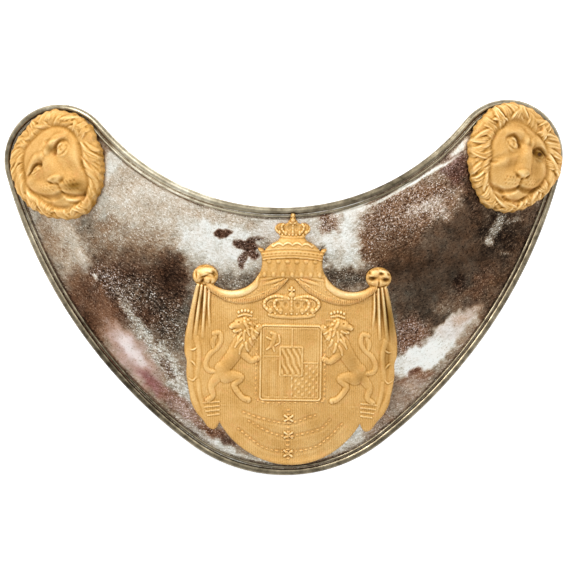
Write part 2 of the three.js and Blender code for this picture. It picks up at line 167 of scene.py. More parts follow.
def halfOutline():
    # right half: the upper path along the neck and the lower path along the foot, both ending at the horn's tip
    neck = np.array([0.0, plate["neckFloor"] + plate["neckRadius"]])
    neckEnd = -math.pi / 2 + math.radians(plate["neckSweep"])
    upper, upperIn = arcPath(neck, plate["neckRadius"], -math.pi / 2, neckEnd, 1)
    inward = upperIn[-1]
    flatEnd = upper[-1] + np.array([-inward[1], inward[0]]) * plate["hornFlat"]
    horn = flatEnd + inward * plate["hornRadius"]
    foot = np.array([0.0, plate["footRadius"]])
    toHorn = plate["flankRadius"] - plate["hornRadius"]
    toFoot = plate["flankRadius"] - plate["footRadius"]
    across = horn - foot
    span = np.linalg.norm(across)
    along = (toFoot ** 2 - toHorn ** 2 + span ** 2) / (2 * span)
    aside = math.sqrt(toFoot ** 2 - along ** 2)
    unit = across / span
    flank = foot + unit * along + np.array([-unit[1], unit[0]]) * aside
    hornStart = math.atan2(-inward[1], -inward[0])
    hornEnd = math.atan2(*(horn - flank)[::-1])
    footStart = math.atan2(*(foot - flank)[::-1])
    tip = (hornStart + hornEnd) / 2
    hornUp, hornUpIn = arcPath(horn, plate["hornRadius"], hornStart, tip, -1)
    hornDown, hornDownIn = arcPath(horn, plate["hornRadius"], hornEnd, tip, -1)
    side, sideIn = arcPath(flank, plate["flankRadius"], footStart, hornEnd, -1)
    base, baseIn = arcPath(foot, plate["footRadius"], -math.pi / 2, footStart, -1)
    upperPath = np.concatenate([upper, hornUp])
    upperIn = np.concatenate([upperIn, hornUpIn])
    lowerPath = np.concatenate([base, side[1:], hornDown[1:]])
    lowerIn = np.concatenate([baseIn, sideIn[1:], hornDownIn[1:]])
    return upperPath, upperIn, lowerPath, lowerIn, horn


def resample(path, values, count):
    # even steps along a path, values carried with it
    lengths = np.concatenate([[0], np.cumsum(np.linalg.norm(np.diff(path, axis=0), axis=1))])
    even = np.linspace(0, lengths[-1], count)
    out = np.stack([np.interp(even, lengths, path[:, k]) for k in range(path.shape[1])], 1)
    carried = np.stack([np.interp(even, lengths, values[:, k]) for k in range(values.shape[1])], 1)
    return out, carried / np.linalg.norm(carried, axis=1, keepdims=True)


def sheetZ(x, y, lean):
    bow = np.sqrt(plate["bowRadius"] ** 2 - x ** 2) - plate["bowRadius"]
    return bow - (y - plate["dishCentre"]) ** 2 / (2 * plate["dishRadius"]) + lean * y


def sheetNormal(x, y, lean):
    slopeX = -x / np.sqrt(plate["bowRadius"] ** 2 - x ** 2)
    slopeY = lean - (y - plate["dishCentre"]) / plate["dishRadius"]
    normal = np.stack([-slopeX, -slopeY, np.ones_like(slopeX)], -1)
    return normal / np.linalg.norm(normal, axis=-1, keepdims=True)


def settledLean(path, inward):
    # the lean that lets both horns and the foot touch the table
    core = path + inward * plate["rollRadius"]
    high = path[:, 1] > plate["neckFloor"] / 2
    low, top = 0.0, 1.0
    halvings = 40
    for _ in range(halvings):
        lean = (low + top) / 2
        lift = sheetNormal(core[:, 0], core[:, 1], lean)[:, 2] * (plate["rollRadius"] - plate["wall"])
        level = sheetZ(core[:, 0], core[:, 1], lean) + lift
        if level[high].min() < level[~high].min():
            low = lean
        else:
            top = lean
    return (low + top) / 2, level.min() - plate["rollRadius"]


upperPath, upperIn, lowerPath, lowerIn, hornCentre = halfOutline()
halfPath = np.concatenate([upperPath, lowerPath[::-1]])
halfIn = np.concatenate([upperIn, lowerIn[::-1]])
lean, lowest = settledLean(halfPath, halfIn)


def depthInside(plan):
    # distance from the plate's edge, cut off where the field is wide
    reach, stretches = 6.0, 160
    side = halfSide(plan)
    depth = np.full(len(side), reach)
    path, _ = resample(halfPath, halfIn, stretches)
    for a, b in zip(path[:-1], path[1:]):
        near = np.flatnonzero(np.abs(side - (a + b) / 2).max(1) < reach + 1.5)
        if len(near):
            way = b - a
            share = np.clip(((side[near] - a) @ way) / (way @ way), 0, 1)
            off = np.linalg.norm(side[near] - a - share[:, None] * way, axis=1)
            depth[near] = np.minimum(depth[near], off)
    return depth


def step(value, low, high):
    t = np.clip((value - low) / (high - low), 0, 1)
    return t * t * (3 - 2 * t)


def sheetPoint(x, y, height):
    # plan place and height square to the sheet
    point = np.stack([x, y, sheetZ(x, y, lean)], -1)
    return point + sheetNormal(x, y, lean) * np.asarray(height)[..., None]


def rowShift():
    # carries the plan to the place of the solid plate
    rim = halfPath + halfIn * plate["rollRadius"]
    core = sheetPoint(rim[:, 0], rim[:, 1], plate["rollRadius"] - plate["wall"])
    low, high = np.array(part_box("plate")) / mm
    middle = (core[:, 1].min() + core[:, 1].max()) / 2
    return np.array([(low[0] + high[0]) / 2, (low[1] + high[1]) / 2 - middle, low[2] - lowest])


toRow = rowShift()


def onSheet(x, y, height=0.0):
    return sheetPoint(np.asarray(x, float), np.asarray(y, float), height) + toRow


# Metals

# Fire-gilt brass left matt: a dry, sandy gold that scatters nearly as much as it mirrors
def giltMaterial():
    material, tree, shader = newMaterial("fireGiltBrass")
    place = (addNode(tree, "ShaderNodeTexCoord"), "Object")
    read = {name: (addNode(tree, "ShaderNodeAttribute", {"attribute_name": name}), "Fac")
            for name in ("hollow", "olive", "hatch")}
    grit = addNode(tree, "ShaderNodeTexNoise", {"Scale": 2400.0, "Detail": 4.0, "Roughness": 0.65}, {"Vector": place})
    cloud = addNode(tree, "ShaderNodeTexNoise", {"Scale": 130.0, "Detail": 6.0, "Roughness": 0.62}, {"Vector": place})
    mottle = addNode(tree, "ShaderNodeMath", {"operation": "MULTIPLY_ADD", 1: 0.5, 2: -0.25}, {0: (cloud, "Fac")})
    speckle = addNode(tree, "ShaderNodeMath", {"operation": "MULTIPLY_ADD", 1: 0.42},
                      {0: (grit, "Fac"), 2: (mottle, 0)})
    around = addNode(tree, "ShaderNodeMath", {"operation": "SUBTRACT", 1: 0.21}, {0: (speckle, 0)})
    # engraved upright hatching, 0.55 mm apart
    lines = addNode(tree, "ShaderNodeTexWave",
                    {"Scale": 571.0, "Distortion": 1.6, "Detail": 3.0, "Detail Scale": 1.2}, {"Vector": place})
    engraved = addNode(tree, "ShaderNodeMath", {"operation": "MULTIPLY"}, {0: (lines, "Fac"), 1: read["hatch"]})
    cut = addNode(tree, "ShaderNodeMath", {"operation": "MULTIPLY_ADD", 1: 0.10}, {0: (engraved, 0), 2: (around, 0)})
    # hollow lays dirt and painted shade into the relief's hollows and a painted highlight on its edges
    toned = addNode(tree, "ShaderNodeMath", {"operation": "ADD"}, {0: read["hollow"], 1: (cut, 0)})
    golds = [(0.0, "#70490f"), (0.25, "#a2742f"), (0.5, "#c79a57"), (0.75, "#dfba7c"), (1.0, "#f3dcaa")]
    colour = addNode(tree, "ShaderNodeValToRGB", {"stops": golds}, {0: (toned, 0)})
    # where the gilding is thin, copper shows through a little
    copper = addNode(tree, "ShaderNodeTexNoise", {"Scale": 420.0, "Detail": 4.0, "Roughness": 0.6}, {"Vector": place})
    worn = addNode(tree, "ShaderNodeMapRange", {"From Min": 0.56, "From Max": 0.75, "To Max": 0.35},
                   {"Value": (copper, "Fac")})
    rosy = addNode(tree, "ShaderNodeMix", {"data_type": "RGBA", 7: hexColour("#dc9c64")},
                   {0: (worn, 0), 6: (colour, "Color")})
    # olive dulls the gold: tarnish, and painted shade in the drapes' folds, the knots' creases and the masks' eyes and
    # mouths
    dulled = addNode(tree, "ShaderNodeMix", {"data_type": "RGBA", "blend_type": "MULTIPLY", 7: hexColour("#9a8a48")},
                     {0: read["olive"], 6: (rosy, 2)})
    rough = addNode(tree, "ShaderNodeMath", {"operation": "MULTIPLY_ADD", 1: 1.5},
                    {0: (grit, "Fac"), 2: (engraved, 0)})
    grain = addNode(tree, "ShaderNodeBump", {"Strength": 1.0, "Distance": 0.00009}, {"Height": (rough, 0)})
    tree.links.new(dulled.outputs[2], shader.inputs["Base Color"])
    tree.links.new(grain.outputs[0], shader.inputs["Normal"])
    shader.inputs["Metallic"].default_value = 0.45
    shader.inputs["Roughness"].default_value = 0.68
    shader.inputs["Specular IOR Level"].default_value = 0.2
    return material


# Silvered brass sheet, rubbed and tarnished: grey-white silver that breaks up into brown and violet sulphide
def silveredMaterial():
    material, tree, shader = newMaterial("silveredSheet")
    place = (addNode(tree, "ShaderNodeTexCoord"), "Object")
    read = {name: (addNode(tree, "ShaderNodeAttribute", {"attribute_name": name}), "Fac")
            for name in ("tone", "warm", "rose", "speck")}
    lie = (addNode(tree, "ShaderNodeAttribute", {"attribute_name": "lie"}), "Vector")
    # polishing strokes lie along the crescent, so the breaks in the silver are twice as long as wide
    strokes = addNode(tree, "ShaderNodeTexNoise", {"Scale": 1.8, "Detail": 9.0, "Roughness": 0.76}, {"Vector": lie})
    broken = addNode(tree, "ShaderNodeMath", {"operation": "SUBTRACT", 1: 0.5}, {0: (strokes, "Fac")})
    strength = addNode(tree, "ShaderNodeMath", {"operation": "MULTIPLY_ADD", 1: 2.9, 2: 0.3}, {0: read["speck"]})
    clouds = addNode(tree, "ShaderNodeTexNoise", {"Scale": 210.0, "Detail": 7.0, "Roughness": 0.66}, {"Vector": place})
    cloudy = addNode(tree, "ShaderNodeMath", {"operation": "MULTIPLY_ADD", 1: 0.5, 2: -0.25}, {0: (clouds, "Fac")})
    # tone brings in the charted stains with their painted reflections of lamps and surroundings and painted shadows
    # beside the arms
    shaded = addNode(tree, "ShaderNodeMath", {"operation": "ADD"}, {0: read["tone"], 1: (cloudy, 0)})
    torn = addNode(tree, "ShaderNodeMath", {"operation": "MULTIPLY_ADD"},
                   {0: (broken, 0), 1: (strength, 0), 2: (shaded, 0)})
    # pinholes of sulphide and flecks of bare silver, a quarter of a millimetre wide
    pits = addNode(tree, "ShaderNodeTexNoise", {"Scale": 2300.0, "Detail": 2.0}, {"Vector": place})
    pitted = addNode(tree, "ShaderNodeMapRange", {"From Min": 0.60, "From Max": 0.70, "To Max": -0.5},
                     {"Value": (pits, "Fac")})
    flecks = addNode(tree, "ShaderNodeTexNoise", {"Scale": 2900.0, "Detail": 2.0, "Lacunarity": 2.3},
                     {"Vector": place})
    flecked = addNode(tree, "ShaderNodeMapRange", {"From Min": 0.58, "From Max": 0.68, "To Max": 1.1},
                      {"Value": (flecks, "Fac")})
    fleckShare = addNode(tree, "ShaderNodeMath", {"operation": "MULTIPLY"}, {0: (flecked, 0), 1: read["speck"]})
    pitShare = addNode(tree, "ShaderNodeMath", {"operation": "MULTIPLY_ADD"},
                       {0: (pitted, 0), 1: (strokes, "Fac"), 2: (torn, 0)})
    level = addNode(tree, "ShaderNodeMath", {"operation": "ADD"}, {0: (pitShare, 0), 1: (fleckShare, 0)})
    steps = (0.0, 0.13, 0.3, 0.5, 0.75, 1.0)
    greys = zip(steps, ("#1a1714", "#38322a", "#60584b", "#918b7b", "#cac7b8", "#f4f5ee"))
    browns = zip(steps, ("#21150e", "#483323", "#70513a", "#9c7b5b", "#d0bb9f", "#f6eee2"))
    cold, brown = [addNode(tree, "ShaderNodeValToRGB", {"stops": list(stops)}, {0: (level, 0)})
                   for stops in (greys, browns)]
    browner = addNode(tree, "ShaderNodeTexNoise", {"Scale": 330.0, "Detail": 5.0, "Roughness": 0.62},
                      {"Vector": place})
    warmth = addNode(tree, "ShaderNodeMath", {"operation": "MULTIPLY_ADD", 1: 1.4, 2: -0.62}, {0: (browner, "Fac")})
    warmed = addNode(tree, "ShaderNodeMath", {"operation": "ADD", "use_clamp": True},
                     {0: read["warm"], 1: (warmth, 0)})
    mixed = addNode(tree, "ShaderNodeMix", {"data_type": "RGBA"},
                    {0: (warmed, 0), 6: (cold, "Color"), 7: (brown, "Color")})
    tinted = addNode(tree, "ShaderNodeMix", {"data_type": "RGBA", "blend_type": "MULTIPLY", 7: hexColour("#e2a0b2")},
                     {0: read["rose"], 6: (mixed, 2)})
    gloss = addNode(tree, "ShaderNodeMapRange", {"To Min": 0.30, "To Max": 0.46}, {"Value": (level, 0)})
    tree.links.new(tinted.outputs[2], shader.inputs["Base Color"])
    tree.links.new(gloss.outputs[0], shader.inputs["Roughness"])
    shader.inputs["Metallic"].default_value = 1.0
    return material


# The same silver on the rim, worn through to grey-green brass, and darkened with dirt and painted shade in the groove
# and on its underside
def rimMaterial():
    material, tree, shader = newMaterial("wornRimSilverAndPaintedShade")
    place = (addNode(tree, "ShaderNodeTexCoord"), "Object")
    dirt = (addNode(tree, "ShaderNodeAttribute", {"attribute_name": "dirt"}), "Fac")
    wear = addNode(tree, "ShaderNodeTexNoise", {"Scale": 260.0, "Detail": 7.0, "Roughness": 0.72}, {"Vector": place})
    spread = addNode(tree, "ShaderNodeMath", {"operation": "MULTIPLY_ADD", 1: 1.1, 2: -0.55}, {0: (wear, "Fac")})
    level = addNode(tree, "ShaderNodeMath", {"operation": "ADD"}, {0: dirt, 1: (spread, 0)})
    tones = [(0.0, "#ebe5d2"), (0.3, "#b3a990"), (0.55, "#857a64"), (0.8, "#4a4233"), (1.0, "#221b14")]
    colour = addNode(tree, "ShaderNodeValToRGB", {"stops": tones}, {0: (level, 0)})
    tree.links.new(colour.outputs["Color"], shader.inputs["Base Color"])
    shader.inputs["Metallic"].default_value = 1.0
    shader.inputs["Roughness"].default_value = 0.36
    return material


# The hidden hooks and pins at the back: plain brass, dulled by handling
def backBrassMaterial():
    material, tree, shader = newMaterial("backBrass")
    place = (addNode(tree, "ShaderNodeTexCoord"), "Object")
    dull = addNode(tree, "ShaderNodeTexNoise", {"Scale": 420.0, "Detail": 5.0, "Roughness": 0.65}, {"Vector": place})
    tones = [(0.3, "#7a6536"), (0.5, "#a88b4e"), (0.75, "#c4a968")]
    colour = addNode(tree, "ShaderNodeValToRGB", {"stops": tones}, {0: (dull, "Fac")})
    gloss = addNode(tree, "ShaderNodeMapRange", {"To Min": 0.52, "To Max": 0.34}, {"Value": (dull, "Fac")})
    tree.links.new(colour.outputs["Color"], shader.inputs["Base Color"])
    tree.links.new(gloss.outputs[0], shader.inputs["Roughness"])
    shader.inputs["Metallic"].default_value = 1.0
    return material


gilt = giltMaterial()
silvered = silveredMaterial()
rimSilver = rimMaterial()
backBrass = backBrassMaterial()
print("materials made")


# The sheet, with its stains, painted reflections and painted shadows charted: soft patches laid over each other in
# order

stainAndPaintedLightChart = [
    # name, x, y, half long, half tall (mm), turn (degrees), cover, softness, tone, warmth, rose, speckle
    ("ground of the left horn", -36.1, 22.9, 21.5, 11.3, -26, 1, 1, 0.75, 0.6, 0, 0.3),
    ("under the left mask", -59.8, 12.4, 7.0, 16.1, 17, 1, 0.9, 0.66, 0.62, 0, 0.25),
    ("left edge", -66.8, 17.8, 2.7, 16.1, 21, 0.8, 1, 0.58, 0.22, 0, 0.2),
    ("left edge lower", -59.9, 0.3, 3.2, 13.4, 29, 0.8, 1, 0.34, 0.45, 0, 0.25),
    ("brown", -62.5, 13.8, 2.7, 7.0, 24, 0.7, 0.9, 0.48, 0.85, 0, 0.25),
    ("bright streak", -54.0, 7.8, 1.6, 11.3, 21, 0.75, 1, 0.86, 0.6, 0, 0.15),
    ("grey beside it", -52.8, 16.9, 3.2, 3.8, -1, 0.8, 0.9, 0.4, 0.12, 0, 0.2),
    ("brown spot", -47.7, 17.4, 3.5, 3.0, -21, 0.75, 0.8, 0.42, 0.68, 0, 0.4),
    ("blue silver", -45.6, 35.1, 2.4, 8.1, -33, 0.9, 0.9, 0.88, 0.1, 0, 0.12),
    ("blue silver low", -48.7, 24.4, 1.3, 5.9, -1, 0.7, 0.9, 0.72, 0.12, 0, 0.1),
    ("neck edge left", -33.3, 28.0, 16.7, 1.3, -31, 0.6, 1, 0.8, 0.42, 0, 0.15),
    ("grey brown", -38.9, 12.4, 17.7, 4.8, -7, 0.85, 1, 0.54, 0.66, 0, 0.38),
    ("brown band", -36.2, 8.2, 16.7, 3.8, -7, 0.9, 1, 0.32, 0.66, 0, 0.25),
    ("dark field", -39.5, -1.5, 16.7, 9.1, -19, 1, 0.8, 0.13, 0.6, 0.25, 0.42),
    ("dark by the knot", -30.3, 3.2, 4.8, 7.0, -1, 0.9, 0.9, 0.08, 0.7, 0.2, 0.25),
    ("grizzle", -39.0, -0.5, 7.0, 4.3, -21, 0.7, 1, 0.26, 0.42, 0, 0.9),
    ("grizzle left", -47.8, 2.3, 5.4, 4.3, -31, 0.8, 1, 0.28, 0.5, 0.2, 1),
    ("white fleck", -50.8, 3.7, 0.6, 0.9, -1, 1, 0.6, 0.9, 0.3, 0, 0.3),
    ("grizzle right", -30.5, -8.6, 5.4, 7.5, -1, 0.75, 1, 0.2, 0.4, 0, 0.85),
    ("red brown", -51.9, -4.6, 5.9, 10.8, 32, 0.9, 0.8, 0.27, 0.9, 0.2, 0.25),
    ("dark brown", -53.6, -8.4, 2.2, 7.0, 29, 0.7, 0.9, 0.14, 0.85, 0.2, 0.25),
    ("lit brown", -47.6, -5.7, 3.2, 5.9, 35, 0.6, 1, 0.42, 0.95, 0.3, 0.3),
    ("scratched silver", -37.0, -13.4, 1.8, 16.7, 32, 0.95, 0.8, 0.6, 0.25, 0, 0.95),
    ("scratched silver low", -29.3, -23.7, 2.2, 10.8, 23, 0.9, 0.8, 0.74, 0.25, 0, 0.8),
    ("dark between", -31.7, -21.0, 1.3, 3.8, 29, 0.7, 0.9, 0.25, 0.5, 0.2, 0.8),
    # the next three rows: a painted reflection of a lamp on the left flank, tinted pink
    ("pink glow", -41.0, -17.8, 4.2, 12.6, 37, 1, 1, 0.78, 0.7, 0.5, 0.03),
    ("rosy glow", -40.9, -17.4, 3.5, 9.4, 38, 0.85, 1, 0.74, 0.6, 0.4, 0.08),
    ("pink white", -41.2, -16.2, 1.9, 7.0, 37, 0.95, 1, 1.0, 0.5, 0.2, 0.02),
    ("brown rim of it", -45.1, -22.7, 1.9, 12.9, 37, 0.8, 0.9, 0.34, 0.75, 0.4, 0.2),
    ("magenta", -35.2, -25.4, 1.9, 6.8, 45, 0.9, 1, 0.6, 0.45, 0.95, 0.12),
    ("pink brown", -28.0, -31.7, 2.4, 9.1, 46, 0.9, 0.9, 0.46, 0.7, 0.45, 0.4),
    ("flecks", -27.2, -32.8, 1.3, 5.4, 49, 0.6, 1, 0.74, 0.6, 0.3, 0.7),
    ("red patch", -19.5, -38.6, 4.3, 2.2, -16, 1, 0.7, 0.34, 0.95, 0.3, 0.5),
    ("purple patch", -15.8, -40.7, 3.0, 1.3, -26, 0.9, 0.8, 0.2, 0.6, 0.3, 0.3),
    ("green silver", -18.5, -42.4, 12.9, 1.9, -28, 0.95, 0.8, 0.86, 0.14, 0, 0.3),
    ("green silver left", -25.4, -37.2, 7.0, 1.3, -37, 0.8, 0.9, 0.66, 0.35, 0.1, 0.5),
    ("silver foot", -6.7, -46.2, 8.1, 1.1, -9, 0.8, 0.9, 0.74, 0.25, 0, 0.3),
    ("silver centre left", -16.8, 12.5, 12.9, 8.1, -15, 1, 0.8, 0.93, 0.16, 0, 0.22),
    ("neck edge centre", -6.0, 19.6, 16.1, 1.3, -7, 0.8, 0.9, 0.88, 0.25, 0, 0.15),
    ("silver above the crown", 0.5, 15.5, 9.5, 5.2, 0, 1, 0.9, 0.88, 0.25, 0.05, 0.25),
    ("beige", -16.7, 18.9, 9.7, 1.9, -15, 0.75, 0.9, 0.7, 0.75, 0, 0.5),
    ("grey mist", -22.8, 7.4, 4.8, 2.7, -21, 0.6, 1, 0.62, 0.2, 0, 0.3),
    ("blotch", -16.5, 15.0, 2.6, 1.2, 7, 1, 0.35, 0.2, 0.6, 0.35, 0.3),
    ("blotch", -12.0, 12.2, 1.9, 1.3, -1, 1, 0.4, 0.2, 0.6, 0.35, 0.45),
    ("blotch", -9.3, 11.1, 2.2, 2.4, 19, 1, 0.4, 0.2, 0.6, 0.35, 0.5),
    ("blotch", -7.4, 13.5, 2.4, 0.6, 4, 0.9, 0.5, 0.22, 0.4, 0.2, 0.8),
    ("blotch", -8.2, 8.9, 1.6, 1.3, -1, 1, 0.5, 0.22, 0.6, 0.35, 0.5),
    ("blotch", -11.3, 7.8, 1.1, 2.6, -14, 0.95, 0.5, 0.22, 0.6, 0.3, 0.6),
    ("shade at the shoulder", -13.2, 2.0, 7.0, 2.2, -1, 0.95, 0.9, 0.36, 0.22, 0, 0.45),
    ("shade by the dome", -5.5, 11.3, 1.6, 2.4, -36, 0.6, 1, 0.45, 0.2, 0, 0.4),
    # painted shadow beside the left drape
    ("halo by the drape", -27.2, -7.6, 1.3, 10.8, -13, 0.75, 1, 0.34, 0.1, 0, 0.3),
    ("silver centre right", 16.3, 14.3, 9.1, 10.8, -11, 1, 0.7, 0.92, 0.22, 0, 0.22),
    ("silver neck right", 17.7, 21.5, 12.9, 2.7, 7, 1, 0.8, 0.97, 0.25, 0, 0.1),
    ("brown speckle", 12.0, 17.6, 3.5, 3.0, -16, 0.95, 0.8, 0.42, 0.75, 0.2, 1),
    ("grey low", 14.3, 8.1, 5.4, 3.2, -1, 0.6, 1, 0.62, 0.22, 0, 0.45),
    ("shade right shoulder", 15.9, 2.8, 7.5, 3.0, -1, 1, 0.8, 0.24, 0.28, 0, 0.45),
    ("speckle by the eave", 9.8, 9.3, 1.6, 2.7, 9, 0.8, 0.9, 0.3, 0.3, 0, 0.9),
    # the next two rows: tarnish, and a painted reflection of the dark surroundings on the right flank
    ("right field", 44.4, 6.7, 22.6, 15.6, 19, 1, 0.6, 0.15, 0.66, 0, 0.06),
    ("right field low", 41.6, -3.4, 19.4, 9.1, 19, 1, 0.9, 0.2, 0.3, 0, 0.1),
    ("brown speckle field", 33.3, 20.3, 15.6, 7.5, 23, 1, 0.55, 0.37, 0.78, 0.14, 0.74),
    ("speckle low", 23.5, 11.5, 3.5, 6.5, -1, 0.95, 0.6, 0.37, 0.84, 0.16, 0.74),
    ("silver in it", 37.6, 21.6, 5.9, 1.9, 19, 0.85, 0.9, 0.7, 0.5, 0.1, 0.95),
    ("silver in it", 41.9, 19.7, 2.7, 2.2, -31, 0.7, 0.9, 0.7, 0.5, 0.1, 0.95),
    ("brown below", 31.0, 12.8, 10.8, 3.2, 4, 0.8, 1, 0.26, 0.8, 0.1, 0.5),
    ("warm brown", 28.8, 8.5, 9.1, 2.7, 3, 0.7, 1, 0.24, 0.85, 0, 0.25),
    ("olive mist", 42.0, 12.2, 7.5, 6.5, 30, 0.8, 1, 0.25, 0.36, 0, 0.12),
    ("olive low", 31.0, -2.6, 6.0, 4.5, 0, 0.7, 1, 0.24, 0.35, 0, 0.15),
    ("mid brown low", 46.0, -3.2, 6.0, 3.4, 20, 0.8, 1, 0.26, 0.6, 0.05, 0.3),
    ("red brown right", 53.6, 0.6, 4.0, 6.0, -25, 0.8, 1, 0.22, 0.9, 0.2, 0.4),
    ("violet", 46.8, 31.4, 4.3, 5.4, 29, 0.9, 0.8, 0.24, 0.45, 0.6, 0.5),
    ("violet light", 44.4, 32.5, 3.8, 1.3, 35, 0.7, 1, 0.5, 0.25, 0.5, 0.8),
    ("by the right mask", 50.5, 24.7, 2.7, 8.1, 7, 0.9, 0.9, 0.13, 0.6, 0.1, 0.3),
    ("bright neck edge", 34.9, 28.4, 15.6, 0.55, 29, 1, 0.7, 1, 0.15, 0, 0.08),
    ("bright neck edge end", 48.0, 37.9, 4.8, 1.1, 41, 1, 0.7, 0.9, 0.2, 0, 0.2),
    # the next three rows: tarnish, darkened by a painted reflection of the dark surroundings
    ("black", 57.9, 14.7, 7.0, 8.1, -1, 1, 0.8, 0.06, 0.45, 0, 0.3),
    ("right edge", 64.4, 14.6, 3.8, 11.8, -23, 0.85, 1, 0.12, 0.6, 0, 0.2),
    ("right edge low", 56.2, -1.4, 3.2, 13.4, -34, 0.8, 1, 0.22, 0.7, 0, 0.25),
    ("smear", 57.1, 16.3, 1.3, 4.3, -31, 0.85, 0.8, 0.5, 0.15, 0, 0.8),
    ("smear", 54.7, 12.3, 1.3, 1.3, -1, 0.9, 0.8, 0.62, 0.2, 0, 0.6),
    ("smear", 61.2, 17.6, 2.7, 0.8, 9, 0.7, 0.9, 0.44, 0.15, 0, 0.8),
    ("smear", 59.2, 9.0, 1.6, 0.5, -1, 0.7, 0.9, 0.46, 0.5, 0, 0.7),
    ("dark spots", 46.8, 0.8, 1.9, 2.7, -1, 0.8, 0.9, 0.06, 0.5, 0.2, 0.4),
    ("pale brown", 43.2, -5.6, 4.3, 2.2, 24, 0.6, 1, 0.42, 0.55, 0, 0.35),
    ("brown and silver", 32.9, -12.5, 6.5, 5.4, 24, 0.95, 0.8, 0.36, 0.72, 0.3, 0.7),
    # painted shadow beside the right drape
    ("halo right drape", 29.2, -12.7, 1.1, 11.8, 3, 0.7, 1, 0.3, 0.1, 0, 0.2),
    # the next two rows: a painted reflection of a lamp on the right flank
    ("white patch", 44.8, -12.1, 9.1, 4.0, 37, 1, 0.35, 0.93, 0.35, 0.1, 0.1),
    ("white patch low", 37.2, -18.5, 9.7, 3.5, 25, 1, 0.35, 1, 0.2, 0, 0.1),
    ("white patch left", 29.6, -20.8, 2.4, 3.2, -1, 1, 0.5, 0.9, 0.2, 0, 0.3),
    ("peach end", 48.6, -7.6, 5.2, 1.8, 30, 0.8, 0.8, 0.72, 0.85, 0.2, 0.2),
    ("tan along the rim", 49.0, -12.7, 1.6, 8.1, -38, 0.75, 0.9, 0.5, 0.7, 0, 0.3),
    ("red brown patch", 34.7, -24.6, 5.4, 2.2, 17, 1, 0.5, 0.48, 0.75, 0.28, 0.3),
    ("rust", 34.4, -22.5, 2.2, 0.8, 19, 0.9, 0.7, 0.3, 0.8, 0.5, 0.3),
    ("pink grey", 31.7, -28.6, 7.0, 3.0, 34, 0.9, 0.9, 0.58, 0.6, 0.16, 0.25),
    ("grey by the arms", 27.4, -30.2, 2.4, 6.5, -23, 0.8, 1, 0.42, 0.35, 0.1, 0.2),
    ("grey foot right", 24.1, -36.6, 7.0, 2.4, 34, 0.9, 0.9, 0.52, 0.5, 0.14, 0.4),
    ("silver foot right", 15.7, -41.6, 7.0, 1.9, 26, 0.95, 0.8, 0.8, 0.22, 0, 0.35),
    ("pale corner", 18.9, -37.9, 1.6, 2.4, -1, 0.9, 0.8, 0.84, 0.12, 0, 0.2),
    ("silver foot far right", 33.2, -32.9, 5.4, 1.1, 39, 0.6, 1, 0.78, 0.35, 0.1, 0.3),
]


def paintStainsAndPaintedLight(x, y):
    # tone, warmth, rose and speckle at each place, the patches' edges waved a little
    wobbleX = 0.55 * np.sin(1.3 * y + 0.7 * x) + 0.3 * np.sin(2.9 * y - 1.1 * x + 2.0)
    wobbleY = 0.55 * np.sin(1.2 * x - 0.8 * y + 1.0) + 0.3 * np.sin(2.7 * x + 1.3 * y)
    values = np.tile([0.5, 0.45, 0.0, 0.3], (len(x), 1))
    for _, cx, cy, long, tall, turn, cover, soft, *target in stainAndPaintedLightChart:
        waver = min(1.0, min(long, tall) / 3)
        u, v = turnedPlace(x + waver * wobbleX - cx, y + waver * wobbleY - cy, turn)
        amount = cover * (1 - step(np.hypot(u / long, v / tall), 1 - 0.65 * soft, 1 + 0.35 * soft))
        values += (np.array(target) - values) * amount[:, None]
    return values


def quadsOf(grid):
    return np.stack([grid[:-1, :-1], grid[1:, :-1], grid[1:, 1:], grid[:-1, 1:]], -1).reshape(-1, 4)


def withoutTips(faces):
    # at the horns' tips the rows shrink to a point: such faces lose their doubled corner or go
    doubled = faces == np.roll(faces, -1, 1)
    whole = faces[~doubled.any(1)]
    rest = [face[~same] for face, same in zip(faces[doubled.any(1)], doubled[doubled.any(1)])]
    return whole, np.array([face for face in rest if len(face) == 3]).reshape(-1, 3)


def sheetGrid(ribs, rows):
    # plan places, one line of points for each rib from the neck to the foot, left horn to right horn
    top, topIn = resample(upperPath, upperIn, ribs)
    foot, footIn = resample(lowerPath, lowerIn, ribs)
    top = top + topIn * plate["rollRadius"]
    foot = foot + footIn * plate["rollRadius"]
    share = np.linspace(0, 1, rows + 1)[None, :, None]
    right = top[:, None, :] * (1 - share) + foot[:, None, :] * share
    right[-1] = (top[-1] + foot[-1]) / 2
    return np.concatenate([right[:0:-1] * [-1, 1], right])


def sheetFaces(frontIds, backIds):
    # front and back, and the narrow walls between them, where a face of the back spans two ribs of the front
    a, b = frontIds, backIds
    walls = np.concatenate([np.stack([a[:-2:2, k], b[:-1, k], b[1:, k], a[2::2, k], a[1:-1:2, k]], -1)[:, ::way]
                            for k, way in ((0, -1), (-1, 1))])
    tips = walls[:, 1] == walls[:, 2]
    blocks = [part for block in (quadsOf(a)[:, ::-1], quadsOf(b)) for part in withoutTips(block)]
    return blocks + [walls[~tips], walls[tips]]


